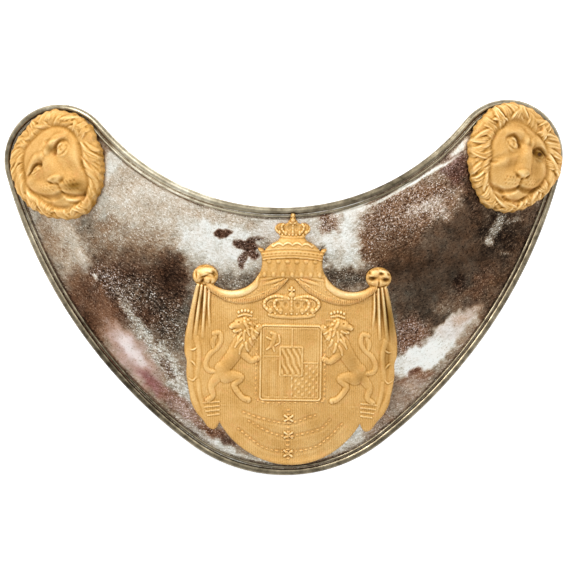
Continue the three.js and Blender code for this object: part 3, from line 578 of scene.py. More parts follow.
def buildSheet():
    front = sheetGrid(plate["ribs"], plate["rows"])
    back = sheetGrid(plate["ribs"], plate["rows"] // 3)[::2]
    ways = np.linalg.norm(np.diff(front[:, front.shape[1] // 2], axis=0), axis=1)
    along = np.concatenate([[0], np.cumsum(ways)])[:, None] + np.zeros(front.shape[1])
    width = np.linalg.norm(front[:, -1] - front[:, 0], axis=1)
    across = width[:, None] * np.linspace(0, 1, front.shape[1])
    count = front.shape[0] * front.shape[1]
    total = count + back.shape[0] * back.shape[1]
    frontIds = np.arange(count).reshape(front.shape[:2])
    backIds = np.arange(count, total).reshape(back.shape[:2])
    for ids in (frontIds, backIds):
        ids[0] = ids[0, 0]
        ids[-1] = ids[-1, 0]
    plan = np.concatenate([front.reshape(-1, 2), back.reshape(-1, 2)])
    height = np.where(np.arange(total) < count, 0.0, -plate["wall"])
    verts = onSheet(plan[:, 0], plan[:, 1], height)
    blocks = sheetFaces(frontIds, backIds)
    used = np.unique(np.concatenate([block.ravel() for block in blocks]))
    renumber = np.zeros(total, int)
    renumber[used] = np.arange(len(used))
    sheet = makeObject("silveredPlate", verts[used], [renumber[block] for block in blocks], silvered)
    stainsAndPaintedLight = paintStainsAndPaintedLight(verts[:, 0], verts[:, 1])
    lie = np.zeros((total, 3))
    lie[:count, 0] = along.ravel() * plate["strokeLength"]
    lie[:count, 1] = across.ravel()
    lie[count:] = verts[count:] * [plate["strokeLength"], 1, 1]
    # the tone is darkened right beside the roll and in a thin line just inside the bead
    depth = depthInside(plan)
    underBead = np.exp(-((depth - 2.95) / 0.22) ** 2) * 0.75
    stainsAndPaintedLight[:, 0] *= 1 - 0.85 * np.maximum(1 - step(depth, 1.5, 2.0), underBead)
    stainsAndPaintedLight[count:] = plate["backStain"]
    for column, name in enumerate(("tone", "warm", "rose", "speck")):
        addAttribute(sheet, name, stainsAndPaintedLight[used, column])
    addAttribute(sheet, "lie", lie[used])
    return sheet


sheet = buildSheet()
print("sheet built:", len(sheet.data.polygons), "faces")


# Geometry Nodes: one tree sweeps a round section along a path, another sets small pieces along it

def newTree(name, inputs):
    tree = bpy.data.node_groups.new(name, "GeometryNodeTree")
    tree.interface.new_socket("Geometry", in_out="INPUT", socket_type="NodeSocketGeometry")
    for label, kind in inputs.items():
        tree.interface.new_socket(label, in_out="INPUT", socket_type=kind)
    tree.interface.new_socket("Geometry", in_out="OUTPUT", socket_type="NodeSocketGeometry")
    return tree, addNode(tree, "NodeGroupInput")


def endTree(tree, source, entry):
    real = addNode(tree, "GeometryNodeRealizeInstances", {}, {"Geometry": source})
    smooth = addNode(tree, "GeometryNodeSetShadeSmooth", {}, {"Geometry": (real, 0)})
    dressed = addNode(tree, "GeometryNodeSetMaterial", {}, {"Geometry": (smooth, 0), "Material": (entry, "Material")})
    addNode(tree, "NodeGroupOutput", {}, {"Geometry": (dressed, 0)})


def sweepTree():
    tree, entry = newTree("roundSweep", {"Radius": "NodeSocketFloat", "Sides": "NodeSocketInt",
                                         "Material": "NodeSocketMaterial"})
    path = addNode(tree, "GeometryNodeMeshToCurve", {}, {"Mesh": (entry, "Geometry")})
    ring = addNode(tree, "GeometryNodeCurvePrimitiveCircle", {},
                   {"Resolution": (entry, "Sides"), "Radius": (entry, "Radius")})
    swept = addNode(tree, "GeometryNodeCurveToMesh", {"Fill Caps": True},
                    {"Curve": (path, 0), "Profile Curve": (ring, 0)})
    endTree(tree, (swept, 0), entry)
    return tree


def runTree(name, tree, paths, closed, values):
    # paths: lists of row-frame points in mm; the result is a plain mesh object
    verts, edges = [], []
    for path in paths:
        first = len(verts)
        verts.extend([tuple(p) for p in np.asarray(path) * mm])
        edges.extend([(first + i, first + i + 1) for i in range(len(path) - 1)])
        if closed:
            edges.append((len(verts) - 1, first))
    guide = bpy.data.meshes.new(name + "Guide")
    guide.from_pydata(verts, edges, [])
    obj = bpy.data.objects.new(name, guide)
    bpy.context.scene.collection.objects.link(obj)
    modifier = obj.modifiers.new(name, "NODES")
    modifier.node_group = tree
    for item in tree.interface.items_tree:
        if item.in_out == "INPUT" and item.name in values:
            modifier[item.identifier] = values[item.name]
    evaluated = obj.evaluated_get(bpy.context.evaluated_depsgraph_get())
    result = bpy.data.meshes.new_from_object(evaluated)
    result.name = name
    obj.modifiers.clear()
    obj.data = result
    return obj


sweep = sweepTree()


def outlineLoop(depth, height):
    # a closed path round the plate at a depth from its edge
    half, halfDirections = resample(halfPath, halfIn, plate["rimSteps"] // 2)
    inside = half + halfDirections * depth
    whole = np.concatenate([inside, inside[-2:0:-1] * [-1, 1]])
    return onSheet(whole[:, 0], whole[:, 1], np.full(len(whole), height))


roll = runTree("rimRoll", sweep, [outlineLoop(plate["rollRadius"], plate["rollRadius"] - plate["wall"])], True,
               {"Radius": plate["rollRadius"] * mm, "Sides": plate["rollSides"], "Material": rimSilver})
bead = runTree("rimBead", sweep, [outlineLoop(plate["beadDepth"], 0.0)], True,
               {"Radius": plate["beadRadius"] * mm, "Sides": plate["beadSides"], "Material": rimSilver})
print("rim swept")


# Relief: heights in mm over a flat ground, worked out at every point of an ornament

def smoothPath(points, steps=6):
    # Catmull-Rom through the points
    points = np.asarray(points, float)
    padded = np.concatenate([2 * points[:1] - points[1:2], points, 2 * points[-1:] - points[-2:-1]])
    t = np.linspace(0, 1, steps, endpoint=False)[:, None]
    pieces = []
    for a, b, c, d in zip(padded[:-3], padded[1:-2], padded[2:-1], padded[3:]):
        pieces.append(0.5 * (2 * b + (c - a) * t + (2 * a - 5 * b + 4 * c - d) * t ** 2
                             + (3 * b - a - 3 * c + d) * t ** 3))
    return np.concatenate(pieces + [points[-1:]])


def segmentOff(p, a, b):
    way = b - a
    share = np.clip(((p - a) @ way) / max(way @ way, 1e-9), 0, 1)
    return np.linalg.norm(p - a - share[:, None] * way, axis=1), share


def ridge(p, points, rise, power=0.7, steps=5):
    # points: x, y, radius and, where it fades, a share of the rise
    # power 0.5 is round on top, 1 and more is softer
    points = np.array([tuple(q) + (1.0,) * (4 - len(q)) for q in points])
    line = smoothPath(points, steps) if len(points) > 2 else points
    height = np.zeros(len(p))
    reach = line[:, 2].max()
    low, high = line[:, :2].min(0) - reach, line[:, :2].max(0) + reach
    near = np.flatnonzero(((p > low) & (p < high)).all(1))
    if not len(near):
        return height
    q = p[near]
    best = np.zeros(len(q))
    for a, b in zip(line[:-1], line[1:]):
        off, share = segmentOff(q, a[:2], b[:2])
        radius = np.maximum(a[2] * (1 - share) + b[2] * share, 1e-3)
        tall = a[3] * (1 - share) + b[3] * share
        best = np.maximum(best, tall * np.clip(1 - (off / radius) ** 2, 0, 1) ** power)
    height[near] = best * rise
    return height


def dome(p, x, y, wide, tall, rise, turn=0.0, power=1.0):
    u, v = turnedPlace(p[:, 0] - x, p[:, 1] - y, turn)
    return rise * np.clip(1 - (u / wide) ** 2 - (v / tall) ** 2, 0, 1) ** power


def bump(p, x, y, wide, tall, rise, turn=0.0):
    u, v = turnedPlace(p[:, 0] - x, p[:, 1] - y, turn)
    return rise * np.exp(-(u / wide) ** 2 - (v / tall) ** 2)


def blendMax(heights, sharp=5.0):
    # a soft union, as chased forms run into each other
    stack = np.maximum(np.array(heights), 0)
    top = np.maximum(stack.max(0), 1e-6)
    return top * ((stack / top) ** sharp).sum(0) ** (1 / sharp)


def insidePolygon(p, polygon):
    inside = np.zeros(len(p), bool)
    for a, b in zip(polygon, np.roll(polygon, -1, 0)):
        crosses = (a[1] > p[:, 1]) != (b[1] > p[:, 1])
        slope = (b[0] - a[0]) * (p[:, 1] - a[1]) / (b[1] - a[1] + 1e-12) + a[0]
        inside ^= crosses & (p[:, 0] < slope)
    return inside


def edgeDistance(p, polygon, reach):
    # distance to the outline, cut off at reach
    distance = np.full(len(p), float(reach))
    for a, b in zip(polygon, np.roll(polygon, -1, 0)):
        near = np.flatnonzero(np.abs(p - (a + b) / 2).max(1) < reach + 1)
        if len(near):
            off, _ = segmentOff(p[near], a, b)
            distance[near] = np.minimum(distance[near], off)
    return distance


def fillOutline(polygon, pitch):
    # a fine triangulation of the area inside an outline, its edge points first
    low, high = polygon.min(0), polygon.max(0)
    gx, gy = np.meshgrid(np.arange(low[0], high[0], pitch), np.arange(low[1], high[1], pitch * 0.87))
    gx[1::2] += pitch / 2
    grid = np.stack([gx.ravel(), gy.ravel()], 1)
    grid = grid[insidePolygon(grid, polygon)]
    grid = grid[edgeDistance(grid, polygon, pitch) > 0.5 * pitch]
    points = np.concatenate([polygon, grid])
    edges = [(i, (i + 1) % len(polygon)) for i in range(len(polygon))]
    verts, _, faces, _, _, _ = delaunay_2d_cdt([Vector(q) for q in points], edges, [], 1, 1e-7)
    return np.array([tuple(v) for v in verts]), np.array([tuple(f) for f in faces if len(f) == 3])


def shellObject(name, polygon, pitch, backPitch, frontHeight, backHeight, place, material):
    # a stamped shell: fine relief in front, a plain hollow back, both on the same outline
    front, frontFaces = fillOutline(polygon, pitch)
    back, backFaces = fillOutline(polygon, backPitch)
    frontVerts = place(front, frontHeight(front))
    backVerts = place(back, backHeight(back))
    edge = np.arange(len(polygon))
    turned = np.roll(edge, -1)
    shift = len(front)
    strip = np.stack([edge, edge + shift, turned + shift, turned], -1)
    obj = makeObject(name, np.concatenate([frontVerts, backVerts]),
                     [frontFaces, backFaces[:, ::-1] + shift, strip], material)
    return obj, front


def ornamentLift(x, y):
    # clearance over the sheet, higher where the ornament lies over the rim
    ease = step(depthInside(np.stack([x, y], -1)), plate["rimBand"], 2 * plate["rimBand"])
    return plate["seatGap"] + (2 * plate["rollRadius"] - plate["wall"]) * (1 - ease)


def paintShell(obj, points, relief, reach, depth, spots, hatch):
    # hollow: partly dirt, partly painted shade, 0 in hollows, 0.5 on flat ground, 1 on edges as a painted highlight;
    # olive: dull spots of tarnish and painted shade; hatch: where the ground is engraved a spot of negative strength is
    # a painted highlight instead, partly burnish, and one near 1 and above is painted black in its middle as shade
    height = relief(points)
    around = sum(relief(points + np.array(off) * reach) for off in ((1, 0), (-1, 0), (0, 1), (0, -1))) / 4
    hollow = np.clip(0.5 + depth * (height - around) / reach, 0.05, 0.95)
    olive = np.zeros(len(points))
    for x, y, wide, tall, turn, strength in spots:
        patch = bump(points, x, y, wide, tall, strength, turn)
        olive = np.maximum(olive, patch)
        hollow -= np.minimum(patch, 0) + 1.2 * np.maximum(patch - 0.9, 0)
    # the front's points come first, and the back is plain
    plain = np.ones(len(obj.data.vertices) - len(points))
    painted = {"hollow": (hollow, 0.5), "olive": (olive, 0.0), "hatch": (hatch(points, height), 0.0)}
    for name, (front, back) in painted.items():
        addAttribute(obj, name, np.concatenate([front, plain * back]))


# Coat of arms

arms = {
    "foot": (0.6, 3.4),       # mm in the plate's plan
    "turn": -1.5,             # degrees
    "wall": 0.6,
    "lobeRadius": 21.5,
    "shoulder": (16.1, 54.0, 7.8),    # the hollow of the pavilion's shoulder: middle and radius
    "pitch": 0.21,            # mesh fineness, mm
    "backPitch": 1.6,
}


def arcPoints(centre, wide, tall, start, end, count):
    angle = np.radians(np.linspace(start, end, count))
    return np.stack([centre[0] + wide * np.cos(angle), centre[1] + tall * np.sin(angle)], 1)


def armsOutline():
    # right half from the cross on top down to the foot, then mirrored
    lobe = arms["lobeRadius"]
    shoulderX, shoulderY, shoulder = arms["shoulder"]
    half = np.concatenate([
        [[0.0, 67.1], [0.45, 67.0], [0.7, 66.6], [0.5, 66.2], [0.75, 65.9], [0.7, 65.5]],
        arcPoints((0, 64.6), 1.3, 1.1, 48, 0, 5),
        arcPoints((2.9, 62.9), 1.85, 1.6, 122, -58, 13),
        [[3.5, 61.2], [3.3, 60.6]],
        arcPoints((0, 54.2), 8.3, 6.2, 62, 26, 9),
        [[7.9, 57.6], [9.05, 57.75], [9.15, 57.3], [8.5, 56.5], [8.15, 55.5], [8.0, 54.3], [8.05, 53.0],
         [8.3, 51.8], [8.7, 50.9]],
        arcPoints((shoulderX, shoulderY), shoulder + 0.1, shoulder, 208, 306, 22),
        arcPoints((23.1, 50.1), 3.4, 2.9, 226, -52, 26),
        smoothPath([(25.5, 47.4), (26.3, 44.2), (26.9, 41.0), (27.5, 38.2), (28.2, 34.6), (28.4, 31.6),
                    (28.3, 29.2), (27.7, 27.2), (27.8, 24.2), (27.4, 21.2), (26.9, 18.6), (26.4, 16.2),
                    (24.9, 13.4), (23.2, 11.5), (21.9, 9.7), (20.6, 9.0), (19.7, 9.3), (19.1, 10.2)], 4),
        [[18.75, 11.05]],
        arcPoints((0, lobe), lobe, lobe, -30.5, -90, 46),
    ])
    left = half[-2:0:-1] * [-1, 1]
    return np.concatenate([half, left])[::-1]


lionForms = [
    # part, rise, then out from the middle, up and radius along it
    ("tail", 0.34, [(19.8, 24.6, 0.7), (21.9, 25.0, 0.75), (22.6, 26.8, 0.75), (21.6, 29.2, 0.75), (19.6, 31.0, 0.72),
                    (18.6, 33.0, 0.7), (19.0, 35.0, 0.7), (20.4, 34.8, 0.8)]),
    ("tail tuft", 0.28, [(20.6, 31.0, 0.5), (20.8, 32.6, 0.8), (20.2, 34.0, 0.6)]),
    ("far hind leg", 0.42, [(18.9, 23.8, 1.6), (21.0, 20.9, 1.05), (20.6, 18.2, 0.8), (21.9, 16.9, 0.85)]),
    ("near hind leg", 0.55, [(16.6, 23.6, 1.8), (13.4, 23.1, 1.2), (14.9, 21.0, 0.9), (12.9, 18.0, 0.8),
                             (11.2, 17.2, 0.9)]),
    ("haunch", 0.72, [(18.2, 25.4, 2.1), (17.2, 23.4, 2.0)]),
    ("body", 0.68, [(13.1, 32.6, 2.4), (15.4, 28.9, 2.0), (17.6, 25.9, 1.9)]),
    ("lower foreleg", 0.50, [(13.0, 29.8, 1.2), (10.6, 27.8, 0.9), (8.8, 28.4, 0.9)]),
    ("upper foreleg", 0.58, [(11.8, 32.4, 1.3), (10.0, 34.2, 0.95), (8.6, 36.6, 1.0)]),
    ("neck", 0.62, [(12.4, 37.0, 2.3), (11.6, 34.4, 2.6), (12.6, 31.6, 2.2)]),
    ("head", 0.80, [(12.4, 37.7, 1.7), (14.0, 37.4, 1.5)]),
    ("muzzle", 0.72, [(14.4, 37.3, 1.1), (15.8, 36.8, 0.8)]),
    ("jaw", 0.5, [(13.6, 36.2, 0.8), (15.0, 35.6, 0.6)]),
]
maneTufts = [
    # root out and up, tip out and up
    (12.4, 39.2, 10.6, 39.9), (11.4, 38.8, 9.3, 38.8), (10.9, 37.8, 8.9, 37.0), (10.6, 36.4, 8.7, 35.2),
    (10.4, 35.0, 9.0, 33.2), (10.9, 33.6, 9.8, 31.4), (11.9, 32.6, 11.2, 30.1), (13.2, 35.2, 14.2, 32.8),
    (12.2, 35.8, 12.4, 33.2), (11.6, 37.0, 11.0, 34.6), (13.0, 33.8, 14.8, 31.4), (12.4, 38.4, 11.2, 36.4),
    (13.4, 36.0, 15.3, 33.9), (12.8, 32.0, 13.6, 29.6), (10.2, 36.0, 10.0, 33.6),
]


def lionRelief(p):
    side = halfSide(p)
    figure = blendMax([ridge(side, points, rise, 0.85) for _, rise, points in lionForms])
    tufts = np.max([ridge(side, [(a, b, 0.40), ((a + c) / 2 + 0.22, (b + d) / 2 + 0.1, 0.44), (c, d, 0.22)], 0.30)
                    for a, b, c, d in maneTufts], 0)
    eye = dome(side, 13.9, 38.0, 0.4, 0.3, -0.22)
    nostril = dome(side, 16.2, 37.1, 0.35, 0.3, -0.15)
    points = [dome(side, 10.6 + 0.85 * k, 40.6 + 0.45 * math.sin(math.pi * k / 4), 0.40, 0.46, 0.34, power=0.6)
              for k in range(5)]
    crown = np.max(points + [ridge(side, [(10.6, 39.7, 0.3), (12.4, 40.0, 0.3), (14.1, 39.5, 0.3)], 0.3)], 0)
    toes = sum(dome(side, x, y, 0.2, 0.5, -0.14) for x, y in ((22.2, 16.6), (11.5, 16.9), (8.8, 28.2), (8.5, 37.0)))
    furred = np.maximum(figure, tufts * 0.5) + tufts * step(figure, 0.0, 0.3) * 0.8
    return np.maximum(furred + eye + nostril + toes, crown)


def crownRelief(p, x, y, wide, tall, rise):
    # arches between a jewelled band and an orb with a cross; x and y is the middle of the band's foot
    side = halfSide(p - [x, y])
    band = ridge(side, [(0, 0.06 * tall, 0.07 * tall), (0.55 * wide, 0.09 * tall, 0.07 * tall),
                        (0.80 * wide, 0.14 * tall, 0.07 * tall)], rise * 0.7)
    arches = [
        [(0.78, 0.22), (1.0, 0.42), (0.92, 0.62), (0.58, 0.72), (0.12, 0.66)],
        [(0.40, 0.20), (0.62, 0.40), (0.56, 0.60), (0.10, 0.64)],
        [(0.0, 0.18), (0.0, 0.44), (0.0, 0.66)],
    ]
    bars = [ridge(side, [(a * wide, b * tall, 0.06 * tall) for a, b in arch], rise * 0.75) for arch in arches]
    beads = [dome(side, a * wide, b * tall, 0.055 * tall, 0.055 * tall, rise * 0.95, power=0.6)
             for arch in arches for a, b in smoothPath(arch, 2)]
    leaves = [dome(side, a * wide, 0.27 * tall, 0.12 * wide, 0.10 * tall, rise * 0.9, power=0.7)
              for a in (0, 0.40, 0.78)]
    pearls = [dome(side, a * wide, 0.17 * tall, 0.05 * wide, 0.05 * tall, rise * 0.8, power=0.6) for a in (0.2, 0.6)]
    orb = dome(side, 0, 0.76 * tall, 0.11 * tall, 0.10 * tall, rise, power=0.6)
    crossBars = [
        [(0, 0.84, 0.04), (0, 1.0, 0.04)],
        [(0, 0.92, 0.035), (0.075, 0.92, 0.035)],
    ]
    cross = [ridge(side, [(a * tall, b * tall, r * tall) for a, b, r in bar], rise * 0.8) for bar in crossBars]
    cap = dome(side, 0, 0.38 * tall, 0.98 * wide, 0.40 * tall, rise * 0.5, power=0.5)
    holes = sum(dome(side, a * wide, 0.46 * tall, 0.10 * wide, 0.10 * tall, rise * 0.45) for a in (0.22, 0.5, 0.76))
    return np.max([band, cap - holes, orb] + cross + bars + beads + leaves + pearls, 0)


curtainLine = [(0.3, 50.4), (2.0, 48.2), (4.6, 45.9), (8.2, 44.0), (12.4, 42.9), (16.2, 43.1), (19.4, 44.6),
               (22.4, 47.0)]
curtainFolds = [
    # from the parting under the canopy outwards
    (1.2, 49.6, 2.8, 48.6, 5.4, 47.6), (2.2, 49.9, 4.6, 49.0, 7.6, 48.1), (0.8, 48.9, 2.2, 47.4, 4.2, 46.2),
    (3.4, 50.4, 6.0, 49.9, 8.6, 49.3),
]


def curtainInside(side):
    # how far a place is above the fringed edge of the curtain; 0 for places that are far from it
    line = smoothPath(curtainLine, 5)
    inside = np.zeros(len(side))
    near = np.flatnonzero((side[:, 1] > 41) & (side[:, 1] < 58))
    q = side[near]
    best, above = np.full(len(q), 9.0), np.zeros(len(q))
    for a, b in zip(line[:-1], line[1:]):
        off, _ = segmentOff(q, a, b)
        way = b - a
        turned = way[0] * (q[:, 1] - a[1]) - way[1] * (q[:, 0] - a[0])
        above = np.where(off < best, np.sign(turned), above)
        best = np.minimum(best, off)
    inside[near] = best * above
    return inside


canopy = {
    "half": 9.0,              # mm
    "capFoot": 58.3,
    "capTop": 61.3,
    "bandFoot": 55.4,
    "mouldings": (58.0, 57.1, 56.3, 55.6),
    "dropPitch": 2.45,
    # middle of the first drop, half sizes and rise of each row
    "drops": [(0.0, 52.9, 0.98, 2.4, 0.20), (0.0, 51.0, 0.62, 0.95, 0.30), (1.22, 54.4, 0.8, 0.6, 0.22)],
}


def canopyRelief(side):
    # cap with a band of flames, mouldings that sag a little, then the valance with its drops
    x, y = side[:, 0], side[:, 1]
    swell = np.sqrt(np.clip(1 - (x / canopy["half"]) ** 2, 0, 1))
    rimLine = y + 0.012 * x ** 2
    over = rimLine > canopy["capFoot"]
    under = rimLine <= canopy["bandFoot"]
    cap = over * (0.25 + 0.75 * step(canopy["capTop"] - 0.028 * x ** 2 - y, 0.0, 2.0) * swell)
    flameLine = 58.9 - 0.018 * x ** 2 + 0.55 * np.abs(np.sin(x * math.pi / 2.5))
    flames = 0.30 * np.clip(1 - np.abs(y - flameLine) / 0.42, 0, 1)
    band = ~over * ~under * (0.35 + 0.55 * swell)
    mould = sum(0.16 * np.exp(-((rimLine - level) / 0.24) ** 2) for level in canopy["mouldings"])
    leafRow = 0.12 * np.abs(np.sin(x * math.pi / 1.1)) * np.exp(-((rimLine - 56.7) / 0.3) ** 2)
    drum = under * (y > 49.0) * (0.18 + 0.55 * swell) * step(y, 49.2, 50.6)
    drops = np.max([dome(side, first + canopy["dropPitch"] * k, *row)
                    for first, *row in canopy["drops"] for k in range(4)], 0)
    worked = (flames + mould + leafRow) * (rimLine > 55.0) + drops * (rimLine <= 55.6)
    return (x < canopy["half"] + 0.3) * (cap + band + drum + worked)


def pavilionRelief(p):
    side = halfSide(p)
    x, y = side[:, 0], side[:, 1]
    inside = curtainInside(side)
    fall = step(inside, -0.05, 0.2) * (y < 56) * (x < 23.3)
    hem = 0.10 * np.exp(-((inside - 1.45) / 0.16) ** 2) * (x < 22.5) * (y < 56)
    folds = np.max([ridge(side, [(a, b, 0.35), (c, d, 0.5), (e, f, 0.3, 0.2)], 0.30)
                    for a, b, c, d, e, f in curtainFolds], 0)
    # the rolled cloth that runs round the hollow of the shoulder
    cx, cy, radius = arms["shoulder"]
    ends = step(x, 8.2, 9.4) * (x < 22.6) * (y < 51.6)
    roll = 0.72 * np.clip(1 - (np.hypot(x - cx, y - cy) - radius - 0.95) ** 2, 0, 1) ** 0.6 * ends
    return np.max([canopyRelief(side), fall * (0.22 + folds) + hem, roll], 0)


foldTable = [
    # hanging folds below the knots: x and y at the top, half way and at the foot, radii, rise
    (24.9, 47.7, 26.3, 40.5, 27.4, 32.5, 0.70, 1.0, 1.10),
    (23.9, 47.7, 24.7, 41.5, 25.6, 34.0, 0.42, 0.6, 1.00),
    (22.9, 47.3, 23.2, 41.0, 23.6, 34.0, 0.40, 0.5, 0.90),
    (21.9, 46.6, 22.0, 42.0, 21.7, 36.5, 0.30, 0.4, 0.60),
]
softFolds = [
    # the quieter drapery below them
    (27.2, 32.6, 27.1, 27.4, 26.6, 22.6, 1.1, 0.9, 0.42),
    (25.2, 33.6, 24.4, 29.0, 25.0, 23.2, 0.8, 0.7, 0.34),
    (27.8, 30.9, 26.0, 30.4, 24.2, 31.6, 0.35, 0.3, 0.36),
    (27.9, 27.0, 26.4, 27.3, 25.0, 25.8, 0.35, 0.3, 0.32),
    (27.6, 23.2, 26.0, 22.2, 24.9, 23.4, 0.35, 0.3, 0.28),
    (26.7, 21.6, 25.9, 18.0, 24.4, 14.4, 0.8, 0.8, 0.30),
    (24.6, 22.2, 24.1, 18.4, 22.4, 12.6, 0.6, 0.7, 0.22),
]
knotTable = [
    # the bunched cloth at either corner: middle, lobes and creases (x, y, half sizes, rise, turn)
    (-23.0, [(-22.7, 51.4, 3.0, 1.2, 0.55, 8), (-21.7, 49.1, 1.8, 1.1, 0.50, -10), (-25.0, 49.7, 1.3, 1.5, 0.55, 20)],
     [(-23.7, 49.0, 0.5, 0.8, -0.9, -25), (-20.7, 50.8, 0.4, 0.9, -0.8, 15), (-23.2, 50.2, 1.4, 0.28, -0.5, 24),
      (-21.3, 50.9, 1.3, 0.25, -0.4, -18), (-25.3, 50.6, 0.3, 1.0, -0.5, 10), (-21.6, 48.6, 0.35, 0.8, -0.6, -15)]),
    (23.0, [(21.6, 51.5, 1.5, 1.2, 0.55, 20), (24.9, 51.4, 1.5, 1.1, 0.50, -20), (22.9, 49.0, 2.2, 1.1, 0.55, 0)],
     [(21.2, 50.2, 0.95, 0.5, -1.0, 10), (24.9, 49.9, 0.95, 0.5, -1.0, -8), (23.7, 51.5, 0.6, 0.4, -0.8, 0),
      (22.9, 48.9, 0.3, 1.0, -0.5, 0), (25.6, 51.3, 0.4, 0.6, -0.5, 30), (20.6, 51.6, 0.4, 0.5, -0.5, -20)]),
]


def drapeRelief(p):
    side = halfSide(p)
    folds = [ridge(side, [(a, b, r, start), (c, d, (r + s) / 2), (e, f, s, end)], rise, power)
             for table, start, end, power in ((foldTable, 1.0, 0.15, 0.7), (softFolds, 0.5, 0.3, 1.0))
             for a, b, c, d, e, f, r, s, rise in table]
    knot = np.zeros(len(p))
    for x, lobes, creases in knotTable:
        bundle = dome(p, x, 50.2, 3.5, 2.5, 1.15, power=0.6)
        tied = bundle + sum(dome(p, *lobe) for lobe in lobes) * (bundle > 0)
        knot = np.maximum(knot, tied + (bundle > 0.3) * sum(bump(p, *crease) for crease in creases))
    return np.maximum(blendMax(folds), knot)


shield = {
    "half": 8.05,
    "top": 37.2,
    "foot": 17.3,
    "round": 0.9,             # corners
    "rise": 0.10,
    "palePitch": 2.3,
    "bendPitch": 1.5,
    # the small lion of the first quarter: rump, head, forelegs, hind legs and tail
    "rampant": [
        [(-5.4, 31.6, 0.5), (-4.8, 32.8, 0.65), (-4.4, 34.4, 0.6)],
        [(-4.4, 34.8, 0.6), (-5.2, 35.2, 0.45)],
        [(-5.0, 33.4, 0.35), (-6.4, 34.0, 0.3)],
        [(-5.2, 31.8, 0.4), (-6.4, 30.8, 0.3)],
        [(-4.8, 31.6, 0.4), (-4.4, 30.4, 0.3)],
        [(-4.2, 31.8, 0.25), (-3.0, 32.8, 0.22), (-3.2, 34.6, 0.3)],
    ],
}


def boxDistance(p, x, y, halfWide, halfTall, radius):
    qx = np.abs(p[:, 0] - x) - halfWide + radius
    qy = np.abs(p[:, 1] - y) - halfTall + radius
    return np.hypot(np.maximum(qx, 0), np.maximum(qy, 0)) + np.minimum(np.maximum(qx, qy), 0) - radius


def thinLine(distance, width, rise):
    return rise * np.clip(1 - (distance / width) ** 2, 0, 1) ** 0.7


def shieldRelief(p):
    x, y = p[:, 0], p[:, 1]
    middle = (shield["top"] + shield["foot"]) / 2
    tall = (shield["top"] - shield["foot"]) / 2
    edge = boxDistance(p, 0, middle, shield["half"], tall, shield["round"])
    field = (edge < 0) * shield["rise"]
    border = thinLine(edge, 0.30, 0.30) + thinLine(edge + 0.7, 0.2, 0.10)
    inside = edge < -0.8
    across = thinLine(y - 27.3, 0.2, 0.14) * (x > 0) + thinLine(y - 29.0, 0.2, 0.12) * (x <= 0)
    cross = np.maximum(thinLine(x - 0.3, 0.2, 0.16), across)
    # quarters: a small lion, a plain field, pales, and a sown field; a small shield with bends over them
    rampant = np.max([ridge(p, points, 0.24) for points in shield["rampant"]], 0)
    pales = 0.07 * np.cos(x * 2 * math.pi / shield["palePitch"]) * (x < 0) * (y < 28.0)
    seeds = np.cos((x - 0.4) * math.pi * 2 / 1.9) * np.cos((y - x * 0.3) * math.pi * 2 / 2.1)
    sown = 0.17 * np.clip(seeds, 0, 1) * (x > 0) * (y < 26.8)
    small = boxDistance(p, 0.1, 27.7, 3.0, 3.9, 0.3)
    bends = 0.13 * np.sin((x + y * 0.42) * 2 * math.pi / shield["bendPitch"] + 0.6 * np.sin(y * 1.7))
    charges = np.where(small < 0.1, 0, cross + rampant + pales + sown)
    inner = np.where(small < 0, 0.12 + bends * (small < -0.4), 0) + thinLine(small, 0.26, 0.16)
    return field + border + inside * charges + inner


def armsDetail(p):
    side = halfSide(p)
    crowns = [crownRelief(p, 0, 39.0, 7.2, 8.4, 0.62), crownRelief(p, 0, 60.3, 4.6, 6.7, 0.72)]
    plinth = [ridge(side, [(18.9, 16.6 - 1.12 * k, 0.24), (23.4 - 0.5 * k, 16.2 - 1.12 * k, 0.24)], 0.24)
              for k in range(4)] + [ridge(side, [(9.3, 15.7, 0.2, 0.3), (18.2, 15.7, 0.2)], 0.10)]
    # three badges of two crossed staves
    badges = [ridge(p, [(-1.3, y - b, 0.34), (0.7, y + b, 0.34)], 0.42) for y in (12.4, 7.9, 3.0) for b in (0.7, -0.7)]
    return np.max(crowns + plinth + badges, 0)


chainArcs = [
    [(-12.2, 13.7), (-7.0, 12.0), (0.0, 11.0), (6.8, 13.2)],
    [(-10.8, 11.4), (-5.2, 8.4), (0.0, 7.5), (8.0, 9.5), (10.6, 11.9)],
    [(-13.6, 9.2), (-6.7, 4.3), (0.4, 3.4), (6.6, 4.6), (10.4, 7.2), (13.9, 10.9)],
]


def chainSeats(p):
    # the chains lie in shallow chased grooves
    return np.min([ridge(p, [(x, y, 0.95) for x, y in path], -0.16, 1.4) for path in chainArcs], 0)


def groundSwell(p):
    # the stamped ground isn't quite flat
    return 0.05 * np.sin(p[:, 0] * 0.8 + np.sin(p[:, 1] * 0.6)) * np.sin(p[:, 1] * 0.55 + 0.3 * p[:, 0])


def armsRelief(p):
    forms = np.max([pavilionRelief(p), drapeRelief(p), lionRelief(p), shieldRelief(p), armsDetail(p)], 0)
    return forms + groundSwell(p) + chainSeats(p)


def armsPlace(points, height):
    x, y = turnedPlace(points[:, 0], points[:, 1], -arms["turn"])
    x, y = x + arms["foot"][0], y + arms["foot"][1]
    return onSheet(x, y, ornamentLift(x, y) + height)


armsEdge = armsOutline()


def armsFront(points):
    rounding = step(edgeDistance(points, armsEdge, 0.6), 0.0, 0.5)
    return arms["wall"] - 0.28 * (1 - rounding) + armsRelief(points) * (0.35 + 0.65 * rounding)


